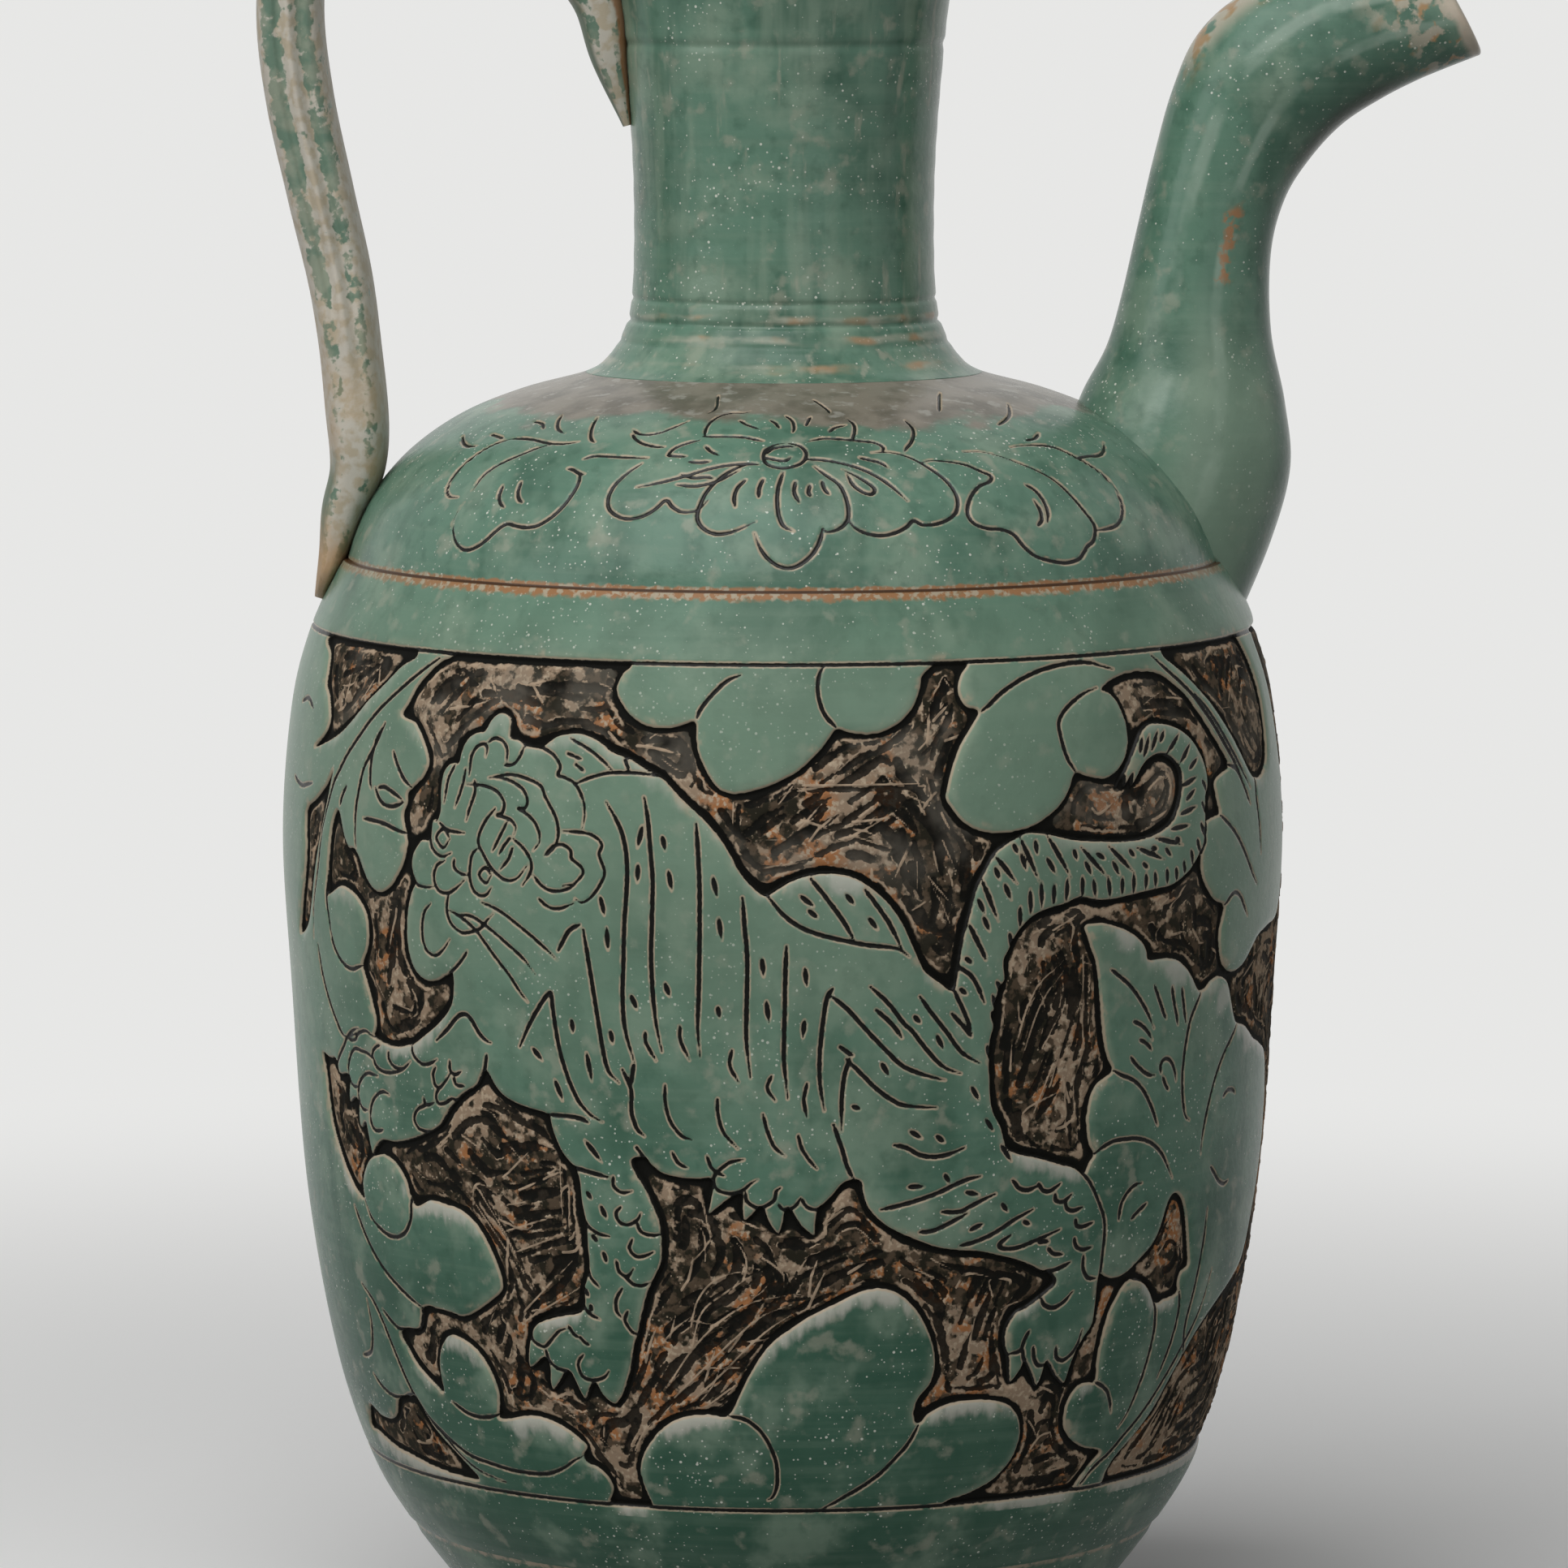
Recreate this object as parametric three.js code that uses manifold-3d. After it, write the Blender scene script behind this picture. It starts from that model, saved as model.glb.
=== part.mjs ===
// A green-glazed stoneware ewer: a barrel-shaped belly, a domed shoulder, a tall neck with a flared mouth,
// an S-curved pouring spout and a tall strap handle. Millimetres, +Z up. The pot stands on its foot ring at
// z = 0, with its turning axis on Z, the spout towards +X and the handle towards -X. Each thrown, turned or
// pulled piece of clay is a solid of its own, set where the potter luted it on with slip.
import * as THREE from "three";
import { mergeVertices } from "three/addons/utils/BufferGeometryUtils.js";
import Module from "manifold-3d";

const wasm = await Module();
wasm.setup();

// Driving dimensions
const SEAM_Z = 191.4; // seam where the dome of the shoulder is luted to the belly
const NECK_Z = 222.6; // seam where the neck is luted to the dome
const MOUTH_Z = 286; // where the wall turns out into the mouth
const RIM_Z = 301.6; // top of the lip
const FLOOR_Z = 12; // upper face of the thrown floor
const FOOT = { outer: 47, waist: 46, inner: 40, height: 9, recess: 5 };
const SLIP = 0.3; // slip left between the pot's wall and a spout or handle cut to sit on it
const TURNS = 48; // facets round the belly and shoulder
const NECK_TURNS = 36; // facets round the neck and mouth

// Walls of the thrown pieces as [radius, height] points going up. A groove is scored by hand into a face
// as { z, width, depth } while the piece turns on the wheel.
const BELLY = {
  outer: [
    [51.6, FLOOR_Z],
    [56.8, 17.5],
    [65, 28.5],
    [70.9, 39],
    [76.6, 56.7],
    [81.4, 84.8],
    [83.9, 119.8],
    [85.2, 145],
    [83.6, 166],
    [80.6, 178.5],
    [76.2, 188.6],
    [74.6, SEAM_Z],
  ],
  inner: [
    [45.2, FLOOR_Z],
    [57, 28],
    [69, 50],
    [76.2, 84.8],
    [78.8, 119.8],
    [79.6, 145],
    [77.4, 168],
    [69.4, SEAM_Z],
  ],
  grooves: [
    { z: 27, width: 1.8, depth: 0.7 },
    { z: 40, width: 1.8, depth: 0.9 },
    { z: 179.8, width: 1.8, depth: 0.9 },
  ],
};
const DOME = {
  outer: [
    [74, SEAM_Z],
    [72.6, 196],
    [69.6, 202.2],
    [63.4, 209.4],
    [54.8, 215.4],
    [44.8, 219.5],
    [33.6, NECK_Z],
  ],
  inner: [
    [69.4, SEAM_Z],
    [64.2, 200.2],
    [52, 210.4],
    [40, 215.2],
    [26.8, 217.6],
  ],
};
const NECK = {
  outer: [
    [33.6, NECK_Z],
    [29.6, 225.4],
    [27.2, 229.4],
    [25.9, 234],
    [25.4, 243],
    [25.5, 256],
    [26.3, 269],
    [28, MOUTH_Z],
  ],
  inner: [
    [26.8, NECK_Z],
    [23.4, 226.5],
    [21.6, 233],
    [20.9, 243],
    [21, 256],
    [22, 270],
    [23.5, MOUTH_Z],
  ],
  grooves: [
    { z: 231.6, width: 2.4, depth: 0.5 },
    { z: 278, width: 2.4, depth: 0.4 },
  ],
};
const MOUTH = {
  outer: [
    [28, MOUTH_Z],
    [29.4, 290.6],
    [31.6, 295],
    [34.4, 298.4],
    [35.6, 300],
  ],
  lip: [
    [35.4, 301.1],
    [34.2, RIM_Z],
    [32.8, RIM_Z - 0.4],
  ],
  inner: [
    [23.5, MOUTH_Z],
    [25.2, 291.4],
    [28.2, 296.6],
    [31.8, 300],
  ],
};

// The carved band between the belly's two upper grooves. The ground is cut back by its depth, and tiger,
// leaves and petals stay. A form is a closed outline of [s, z]: s is the way round the belly from the middle
// of the front towards the spout, at the radius given. A hollow is ground that shows inside the leaves.
const BAND = { low: 40, high: 179.8, rows: [62, 90, 125, 155], radius: 83, depth: 0.7, clear: 3, reach: 4, far: 150 };
const EDGE = { low: 36, high: 184 }; // forms that run out of the band end here, past its grooves
const TIGER = [
  [-66, 148],
  [-61, 152],
  [-60, 162],
  [-49.5, 171.5],
  [-46, 167],
  [-35.5, 169],
  [-20, 162.5],
  [-12.7, 156],
  [-4, 144],
  [11, 146.5],
  [17.7, 141],
  [27.3, 127.6],
  [30, 141],
  [36, 151],
  [42.5, 152.6],
  [61, 150],
  [70.7, 152.7],
  [73.3, 160],
  [63.3, 166],
  [70, 168.6],
  [79, 164],
  [81.4, 158],
  [79, 149],
  [73, 142.5],
  [50, 141],
  [38, 135.5],
  [34.4, 120],
  [35.3, 107],
  [40, 100],
  [51.3, 96.7],
  [58, 87.2],
  [58.2, 70],
  [53.5, 60],
  [40, 62.5],
  [39.5, 71.5],
  [48.5, 77.7],
  [43, 80.8],
  [23.5, 85.6],
  [13.8, 91.8],
  [11.3, 96.6],
  [5.2, 88.5],
  [-12.7, 91.5],
  [-12, 96.7],
  [-24.5, 98.5],
  [-20.2, 86],
  [-27, 64],
  [-31, 58.5],
  [-43, 60],
  [-46.5, 68],
  [-35.5, 74],
  [-33.8, 86],
  [-36, 98.2],
  [-40, 106.2],
  [-52, 112.3],
  [-63, 102],
  [-82, 96.5],
  [-92, 108],
  [-86, 115],
  [-72, 114.8],
  [-60, 121.3],
  [-58, 128],
  [-65.3, 126.8],
  [-68.2, 134],
];
const FORMS = [
  TIGER,
  // petals that hang from the band's upper edge in front
  [
    [-26, EDGE.high],
    [-28, 176],
    [-15, 171],
    [-12, 162.5],
    [-6, 160],
    [1, 162.5],
    [8.6, 170],
    [18, 170.4],
    [23.5, EDGE.high],
  ],
  [
    [32, EDGE.high],
    [29.4, 175],
    [32, 172],
    [26.3, 159],
    [33, 153],
    [43, 154.3],
    [49.7, 161.6],
    [57, 160.5],
    [61.5, 168],
    [57.5, 174.6],
    [67, 177],
    [77, 173],
    [88, 160],
    [97, 158.2],
    [70, EDGE.high],
  ],
  // leaf and petals beside the tail, towards the spout
  [
    [80, 151.3],
    [78.3, 145],
    [85.5, 136],
    [85, 130],
    [91, 125],
    [112, 132],
    [116, 158],
    [112, EDGE.high],
    [102, EDGE.high],
    [107.5, 166],
    [103, 160],
    [93, 164],
  ],
  [
    [51, 136.8],
    [60, 135.3],
    [65, 130.3],
    [73, 129],
    [80, 123.2],
    [86, 125],
    [94, 116],
    [108, 110],
    [116, 95],
    [112, 77],
    [93, 66],
    [80, 53],
    [68, EDGE.low],
    [59, EDGE.low],
    [65, 46.8],
    [55, 51],
    [56.4, 59],
    [60.4, 60],
    [61, 70],
    [66, 76.3],
    [75, 71.5],
    [82.5, 77],
    [76, 89.8],
    [72, 83],
    [62, 77],
    [57, 79.5],
    [52, 92],
    [55, 98.5],
    [53.3, 106],
    [58.3, 112.2],
  ],
  // petals that stand on the band's lower edge in front
  [
    [-25, EDGE.low],
    [-27, 47],
    [-20, 56],
    [-9, 58],
    [-3, 68.5],
    [10, 77],
    [19, 77.8],
    [26.5, 67],
    [23.5, 57],
    [36, 58.7],
    [44.5, 54],
    [43, 46],
    [27, EDGE.low],
  ],
  // leaves and stems towards the handle
  [
    [-61.5, EDGE.high],
    [-70.5, 169.5],
    [-64, 164],
    [-68.2, 155],
    [-67.5, 148.8],
    [-74, 140.3],
    [-88, 152],
    [-91.5, 138.6],
    [-80.4, 138],
    [-78, 118],
    [-88, 110],
    [-98, 110],
    [-96, 99],
    [-86, 88],
    [-82, 95],
    [-74, 94.6],
    [-70, 88.8],
    [-60, 89],
    [-51.5, 80],
    [-53, 74.4],
    [-62, 70.8],
    [-71, 71],
    [-78.5, 65],
    [-69, 57],
    [-68, 63.5],
    [-61, 66.5],
    [-55.4, 53.8],
    [-42, 54],
    [-33, 44],
    [-36, EDGE.low],
    [-126, EDGE.low],
    [-129, 90],
    [-127, 150],
    [-127, EDGE.high],
    [-104, EDGE.high],
    [-95, 168],
    [-98, 162.3],
    [-87, 167],
    [-70, EDGE.high],
  ],
];
const HOLLOWS = [
  [
    [-104, 148],
    [-91, 159],
    [-99, 136],
    [-107, 130],
  ],
  [
    [-84.5, 53.5],
    [-78, 54.7],
    [-64, 42],
    [-92, 43.8],
    [-102, 46],
  ],
];
// Round the back stands a peony between arching leaves, here with s from the middle of the back. A leaf is
// { base, tip, width, bend }: its spine swings aside by the bend, half way up.
const PEONY = { centre: [0, 112], radius: 33, lobes: 9, notch: 0.84 };
const LEAVES = [
  { base: [28, 118], tip: [84, 150], width: 13, bend: 9 },
  { base: [28, 96], tip: [82, 62], width: 12, bend: -7 },
  { base: [-28, 118], tip: [-84, 150], width: 13, bend: -9 },
  { base: [-28, 96], tip: [-82, 62], width: 12, bend: 7 },
];

// Spout ribs from root to tip: [x, z] of the edge towards the neck, [x, z] of the outer edge, and the
// width across. The wall thins towards the tip, and the bore follows the ribs.
const SPOUT = {
  ribs: [
    { back: [45, 207], front: [76, 178], width: 35 },
    { back: [48.6, 214.6], front: [82.6, 194], width: 35.4 },
    { back: [50.9, 220], front: [85.8, 206.4], width: 33.4 },
    { back: [54.6, 227], front: [84.8, 217.6], width: 28.6 },
    { back: [57, 235.2], front: [82.4, 229.6], width: 24.6 },
    { back: [59.6, 246.6], front: [82.3, 242.6], width: 22.4 },
    { back: [62.4, 258.8], front: [84.6, 251.8], width: 22.2 },
    { back: [65.4, 269.8], front: [88.8, 258.6], width: 23.2 },
    { back: [69.4, 279], front: [94.2, 264.4], width: 24 },
    { back: [76.2, 285.6], front: [100.6, 268.6], width: 23.6 },
    { back: [86.4, 290.2], front: [106.4, 271.6], width: 22 },
    { back: [97.4, 291.8], front: [111.6, 273.8], width: 19.6 },
    { back: [108.4, 291.6], front: [117, 275.9], width: 17.4 },
  ],
  wall: [5, 4.6, 3, 2.6],
  steps: 20,
  facets: 20,
};
const POUR_HOLE = { from: [49.6, 188.4], to: [78.6, 217.4], radius: 9.6, facets: 20 }; // pierced in the dome

// Handle strap, from the shoulder's edge over to the neck: its middle line as [x, z], its thickness in that
// plane and its width across. The section is a quarter of a strap 2 thick and 2 wide, with a rib along the
// middle of each side.
const HANDLE = {
  line: [
    [-80.2, 183.4],
    [-78.2, 190],
    [-75.4, 197.5],
    [-72.9, 206],
    [-72.5, 217],
    [-74.6, 236],
    [-78.2, 252.5],
    [-81.7, 269],
    [-83.2, 284],
    [-81.4, 299],
    [-74.6, 309.4],
    [-63.4, 313.6],
    [-51.8, 310.2],
    [-42.6, 301.2],
    [-35.2, 289.6],
    [-31.4, 278],
    [-28.4, 266],
  ],
  thickness: [2.4, 5.4, 8.6, 10.4, 11.2, 11.3, 11.3, 11.2, 10.8, 10.6, 10.4, 9.6, 8.2, 6.4, 2],
  width: [10, 19, 24, 23, 20.6, 19.6, 19, 18.6, 18.4, 18.2, 18, 17.6, 16.6, 14.4, 7],
  section: [
    [1, 0],
    [0.98, 0.42],
    [0.84, 0.76],
    [0.56, 0.9],
    [0.3, 0.86],
    [0, 1],
  ],
  steps: 34,
};

const COLOUR = { glaze: 0x4f8268, worn: 0xa39a80, clay: 0x8a6a4e };
const fired = (color, roughness) => new THREE.MeshStandardMaterial({ color, roughness, metalness: 0 });

// A smooth curve through [x, y] pairs
const through = (pairs) => new THREE.SplineCurve(pairs.map(([x, y]) => new THREE.Vector2(x, y)));

// A smooth run of [radius, height] points through the given ones, with scored grooves let in
function face({ points, count, grooves = [] }) {
  const run = through(points).getPoints(count);
  const scored = grooves.flatMap(({ z, width, depth }) => {
    const next = run.findIndex((p) => p.y > z);
    const [low, high] = [run[next - 1], run[next]];
    const slope = high.clone().sub(low).normalize();
    const centre = low.clone().lerp(high, (z - low.y) / (high.y - low.y));
    const inward = new THREE.Vector2(-slope.y, slope.x).multiplyScalar(depth);
    const edge = (side) => centre.clone().addScaledVector(slope, (side * width) / 2);
    return [edge(-1), centre.clone().add(inward), edge(1)];
  });
  const clear = run.filter((p) => grooves.every(({ z, width }) => Math.abs(p.y - z) > width));
  return [...clear, ...scored].sort((a, b) => a.y - b.y).map((p) => [p.x, p.y]);
}

// Turns a closed [radius, height] outline about the pot's axis. It runs up the outside, then down inside.
function turned(outline, facets = TURNS) {
  const closed = [...outline, outline[0]].map(([r, z]) => new THREE.Vector2(r, z));
  return new THREE.LatheGeometry(closed, facets).rotateX(Math.PI / 2);
}

// Joins rings of points into a closed skin with flat ends
function skinned(rings) {
  const around = rings[0].length;
  const last = (rings.length - 1) * around;
  const index = [];
  for (let start = 0; start < last; start += around) {
    for (let j = 0; j < around; j++) {
      const a = start + j;
      const b = start + ((j + 1) % around);
      index.push(a, b, a + around, b, b + around, a + around);
    }
  }
  for (let j = 1; j + 1 < around; j++) {
    index.push(0, j + 1, j, last, last + j, last + j + 1);
  }
  const geometry = new THREE.BufferGeometry().setFromPoints(rings.flat());
  geometry.setIndex(index);
  return geometry;
}

// Reads a smooth value at t, from 0 to 1, off evenly spaced ones
const graded = (values, t) => through(values.map((value, i) => [i, value])).getPoint(t).y;

// Angles of evenly spaced facets round a section
const facetAngles = (count) => Array.from({ length: count }, (_, j) => (2 * Math.PI * j) / count);

// manifold-3d solids, for cutting
function solid(geometry) {
  const bare = geometry.clone();
  bare.deleteAttribute("normal");
  bare.deleteAttribute("uv");
  const merged = mergeVertices(bare, 1e-4);
  return new wasm.Manifold(
    new wasm.Mesh({
      numProp: 3,
      vertProperties: new Float32Array(merged.attributes.position.array),
      triVerts: new Uint32Array(merged.index.array),
    }),
  );
}

function geometryOf(manifold) {
  const mesh = manifold.getMesh();
  const geometry = new THREE.BufferGeometry();
  geometry.setAttribute("position", new THREE.Float32BufferAttribute(mesh.vertProperties, 3));
  geometry.setIndex([...mesh.triVerts]);
  return geometry;
}

// The piece that is kept when a cut splits a solid
const largest = (manifold) => manifold.decompose().sort((a, b) => b.volume() - a.volume())[0];

const bellyFace = face({ points: BELLY.outer, count: 11, grooves: BELLY.grooves });
const domeFace = face({ points: DOME.outer, count: 8 });
const neckFace = face({ points: NECK.outer, count: 10, grooves: NECK.grooves });
const mouthFace = face({ points: MOUTH.outer, count: 6 });

function footRing() {
  const { outer, waist, inner, height } = FOOT;
  return turned([
    [outer - 1.6, 0],
    [outer, 1.6],
    [outer - 0.2, height - 3],
    [waist, height],
    [inner + 1, height],
    [inner, height - 1],
    [inner + 0.6, 1],
    [inner + 1.6, 0],
  ]);
}

function floorSlab() {
  const { inner, height, recess } = FOOT;
  return turned([
    [0, recess],
    [inner - 1.2, recess],
    [inner - 0.4, height],
    [48.9, height],
    [51.6, FLOOR_Z],
    [0, FLOOR_Z],
  ]);
}

// The belly's radius at a height, without its grooves
const plainFace = face({ points: BELLY.outer, count: 11 });
function bellyRadius(z) {
  const next = plainFace.findIndex(([, height]) => height > z);
  const [[r0, z0], [r1, z1]] = [plainFace[next - 1], plainFace[next]];
  return THREE.MathUtils.mapLinear(z, z0, z1, r0, r1);
}

// A block that stands out of the belly's wall square to it, with the outline given as its section
function standing(outline, turn = 0) {
  const flat = outline.map(([s, z]) => new THREE.Vector2(s, z));
  if (THREE.ShapeUtils.isClockWise(flat)) flat.reverse();
  const ring = (radius) =>
    flat.map(({ x: s, y: z }) => {
      const angle = s / BAND.radius + turn;
      return new THREE.Vector3(radius(z) * Math.sin(angle), -radius(z) * Math.cos(angle), z);
    });
  const rings = [ring((z) => bellyRadius(z) - BAND.reach), ring((z) => bellyRadius(z) + BAND.reach), ring(() => BAND.far)];
  const count = flat.length;
  const index = [];
  for (let start = 0; start < 2 * count; start += count) {
    for (let j = 0; j < count; j++) {
      const [a, b] = [start + j, start + ((j + 1) % count)];
      index.push(a, b, b + count, a, b + count, a + count);
    }
  }
  for (const [a, b, c] of THREE.ShapeUtils.triangulateShape(flat, [])) {
    index.push(c, b, a, a + 2 * count, b + 2 * count, c + 2 * count);
  }
  const geometry = new THREE.BufferGeometry().setFromPoints(rings.flat());
  geometry.setIndex(index);
  return solid(geometry);
}

const peonyOutline = ({ centre: [s, z], radius, lobes, notch }) =>
  facetAngles(2 * lobes).map((angle, j) => {
    const reach = radius * (j % 2 ? 1 : notch);
    return [s + reach * Math.cos(angle), z + reach * Math.sin(angle)];
  });

function leafOutline({ base, tip, width, bend }) {
  const [start, way] = [new THREE.Vector2(...base), new THREE.Vector2(...tip).sub(new THREE.Vector2(...base))];
  const aside = new THREE.Vector2(-way.y, way.x).normalize();
  const edge = (t, side) => {
    const out = bend * Math.sin(Math.PI * t) + side * width * Math.sin(Math.PI * t ** 0.75) ** 0.8;
    return start.clone().addScaledVector(way, t).addScaledVector(aside, out).toArray();
  };
  return [...[0.05, 0.35, 0.7].map((t) => edge(t, -1)), edge(1, 0), ...[0.7, 0.35, 0.05].map((t) => edge(t, 1))];
}

// Everything between the forms, as a thin ring that is taken out of the wall
function carvedGround() {
  const { low, high, depth, clear } = BAND;
  const rows = [low, ...BAND.rows, high];
  const outer = rows.map((z) => [bellyRadius(z) + clear, z]);
  const inner = rows.map((z) => [bellyRadius(z) - depth, z]);
  const forms = FORMS.map((outline) => standing(outline));
  const leaves = wasm.Manifold.union(forms).subtract(wasm.Manifold.union(HOLLOWS.map((outline) => standing(outline))));
  const behind = [peonyOutline(PEONY), ...LEAVES.map(leafOutline)];
  const back = wasm.Manifold.union(behind.map((outline) => standing(outline, Math.PI)));
  return solid(turned([...outer, ...inner.reverse()])).subtract(leaves).subtract(back);
}

function bellyWall() {
  const inner = face({ points: BELLY.inner, count: 6 });
  return geometryOf(solid(turned([...bellyFace, ...inner.reverse()])).subtract(carvedGround()).simplify(0.06));
}

function domeWall() {
  const inner = face({ points: DOME.inner, count: 5 });
  const wall = turned([...domeFace, [DOME.inner.at(-1)[0], NECK_Z], ...inner.reverse()]);
  const [start, end] = [POUR_HOLE.from, POUR_HOLE.to].map(([x, z]) => new THREE.Vector3(x, 0, z));
  const along = end.clone().sub(start).normalize();
  const side = new THREE.Vector3(along.z, 0, -along.x).multiplyScalar(POUR_HOLE.radius);
  const across = new THREE.Vector3(0, POUR_HOLE.radius, 0);
  const ring = (centre) =>
    facetAngles(POUR_HOLE.facets).map((angle) =>
      centre.clone().addScaledVector(side, Math.cos(angle)).addScaledVector(across, Math.sin(angle)),
    );
  return geometryOf(solid(wall).subtract(solid(skinned([ring(start), ring(end)]))));
}

function neckWall() {
  const inner = face({ points: NECK.inner, count: 5 });
  return turned([...neckFace, ...inner.reverse()], NECK_TURNS);
}

function mouthWall() {
  const inner = face({ points: MOUTH.inner, count: 3 });
  return turned([...mouthFace, ...MOUTH.lip, ...inner.reverse()], NECK_TURNS);
}

// The pot's outer form, grown by the slip's thickness, as a plain solid that spout and handle are cut with
function thrownForm() {
  const thrown = [...bellyFace, ...domeFace.slice(1), ...neckFace.slice(1), ...mouthFace.slice(1), ...MOUTH.lip];
  const grown = thrown.map(([r, z]) => [r + SLIP, z > SEAM_Z && z < NECK_Z ? z + SLIP : z]);
  return solid(turned([[0, 0], [FOOT.outer, 0], ...grown, [0, RIM_Z]]));
}

// The spout's ribs, smoothed, each an oval of points, with the wall taken off all round for the bore
function spoutRings(hollow) {
  const { ribs, wall, steps, facets } = SPOUT;
  const backs = through(ribs.map(({ back }) => back));
  const fronts = through(ribs.map(({ front }) => front));
  const widths = ribs.map(({ width }) => width);
  return Array.from({ length: steps + 1 }, (_, i) => {
    const t = i / steps;
    const inset = hollow ? graded(wall, t) : 0;
    const [back, front] = [backs.getPoint(t), fronts.getPoint(t)];
    const centre = back.clone().add(front).multiplyScalar(0.5);
    const half = front.clone().sub(back).multiplyScalar(0.5);
    half.setLength(half.length() - inset);
    const across = graded(widths, t) / 2 - inset;
    return facetAngles(facets).map((angle) => {
      const [u, v] = [Math.cos(angle), Math.sin(angle)];
      return new THREE.Vector3(centre.x + half.x * u, across * v, centre.y + half.y * u);
    });
  });
}

function spout(form) {
  const hull = solid(skinned(spoutRings(false)));
  const boreRings = spoutRings(true);
  // the bore runs on past the tip, so that it opens there
  const [before, tip] = boreRings.slice(-2);
  boreRings.push(tip.map((p, j) => p.clone().lerp(before[j], -0.4)));
  return geometryOf(largest(hull.subtract(form).subtract(solid(skinned(boreRings)))));
}

function handle(form) {
  const { line, thickness, width, section, steps } = HANDLE;
  const points = line.map(([x, z]) => new THREE.Vector3(x, 0, z));
  const curve = new THREE.CatmullRomCurve3(points, false, "centripetal");
  // the section's quarter is mirrored to a half, and the half to the whole
  const half = [...section, ...section.slice(0, -1).reverse().map(([u, v]) => [-u, v])];
  const whole = [...half, ...half.slice(1, -1).reverse().map(([u, v]) => [u, -v])];
  const rings = Array.from({ length: steps + 1 }, (_, i) => {
    const t = i / steps;
    const centre = curve.getPointAt(t);
    const tangent = curve.getTangentAt(t);
    const out = new THREE.Vector3(tangent.z, 0, -tangent.x).multiplyScalar(graded(thickness, t) / 2);
    const across = new THREE.Vector3(0, graded(width, t) / 2, 0);
    return whole.map(([u, v]) => centre.clone().addScaledVector(out, u).addScaledVector(across, v));
  });
  return geometryOf(largest(solid(skinned(rings)).subtract(form)));
}

const pot = new THREE.Group();
function place(name, geometry, material) {
  geometry.computeVertexNormals();
  const mesh = new THREE.Mesh(geometry, material);
  mesh.name = name;
  pot.add(mesh);
}

const form = thrownForm();
place("foot_ring", footRing(), fired(COLOUR.clay, 0.8));
place("floor_slab", floorSlab(), fired(COLOUR.clay, 0.8));
place("belly", bellyWall(), fired(COLOUR.glaze, 0.35));
place("shoulder", domeWall(), fired(COLOUR.glaze, 0.35));
place("neck", neckWall(), fired(COLOUR.glaze, 0.35));
place("mouth", mouthWall(), fired(COLOUR.glaze, 0.35));
place("spout", spout(form), fired(COLOUR.glaze, 0.35));
place("handle", handle(form), fired(COLOUR.worn, 0.5));

export default pot;
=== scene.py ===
# %% [markdown]
# # A carved green ewer
#
# The real object is a stoneware wine pot: a barrel-shaped belly with a tiger among peonies carved round it,
# a domed shoulder, a tall neck, a strap handle and a curved spout, all under a green glaze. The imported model
# gives each clay member its place and size. This script gives the members their carved faces and their
# finish, and sets up a plain studio.
#
# Lengths are written in millimetres, as a potter would say them, and turned into metres when a mesh is made.

import bpy
import numpy as np
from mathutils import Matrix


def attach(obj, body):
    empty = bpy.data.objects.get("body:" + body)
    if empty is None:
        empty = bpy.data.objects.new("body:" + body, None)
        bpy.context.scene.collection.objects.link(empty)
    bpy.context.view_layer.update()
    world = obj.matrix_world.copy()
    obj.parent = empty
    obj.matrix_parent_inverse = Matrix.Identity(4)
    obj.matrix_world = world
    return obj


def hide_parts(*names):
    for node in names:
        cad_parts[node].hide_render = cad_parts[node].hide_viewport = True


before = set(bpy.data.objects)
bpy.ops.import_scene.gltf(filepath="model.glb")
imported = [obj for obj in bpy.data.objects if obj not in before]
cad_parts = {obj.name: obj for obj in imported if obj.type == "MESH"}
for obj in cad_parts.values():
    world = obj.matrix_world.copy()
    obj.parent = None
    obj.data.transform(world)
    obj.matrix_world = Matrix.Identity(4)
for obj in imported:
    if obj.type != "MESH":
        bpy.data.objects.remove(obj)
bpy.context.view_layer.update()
MM = 0.001
print("members:", sorted(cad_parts))

# %% [markdown]
# ## The studio
#
# The pot was photographed from the front with a long lens, a little from above. A camera is a place, a tilt
# and a focal length. The focal length in pixels of the photograph, over its width in pixels, is the lens
# over the sensor's width, so the three numbers of the fit give Blender's camera directly.

# %% Camera
PHOTO_SIDE = 1932
FOCAL_PIXELS = 10610
CAMERA_PLACE = (0, -1457, 309.6)
CAMERA_TILT = 6.16  # degrees down

lens = bpy.data.cameras.new("camera")
lens.sensor_width = 36
lens.lens = FOCAL_PIXELS / PHOTO_SIDE * lens.sensor_width
camera = bpy.data.objects.new("camera", lens)
camera.location = [c * MM for c in CAMERA_PLACE]
camera.rotation_euler = (np.radians(90 - CAMERA_TILT), 0, 0)
bpy.context.scene.collection.objects.link(camera)
bpy.context.scene.camera = camera
print("lens", round(lens.lens, 1), "mm")

# %% [markdown]
# A glazed pot is lit by large soft sources, because the glaze mirrors them as broad soft sheens. One big lamp
# hangs high in front, a little to the left, and two weaker ones stand far to the left and in front on the
# right. An even light on a surface is its lamp's power over pi squared times the distance squared, so the
# powers follow from the share of plain white light that each lamp should give.

# %% Soft lamps
LAMPS = {  # name: place in mm, side in mm, share of plain white light
    "key": ((-420, -900, 1500), 1500, 0.85),
    "side": ((-1700, -900, 800), 900, 0.15),
    "fill": ((700, -1700, 600), 1200, 0.10),
}
AIM = np.array((0, 0, 160.0))

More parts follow.
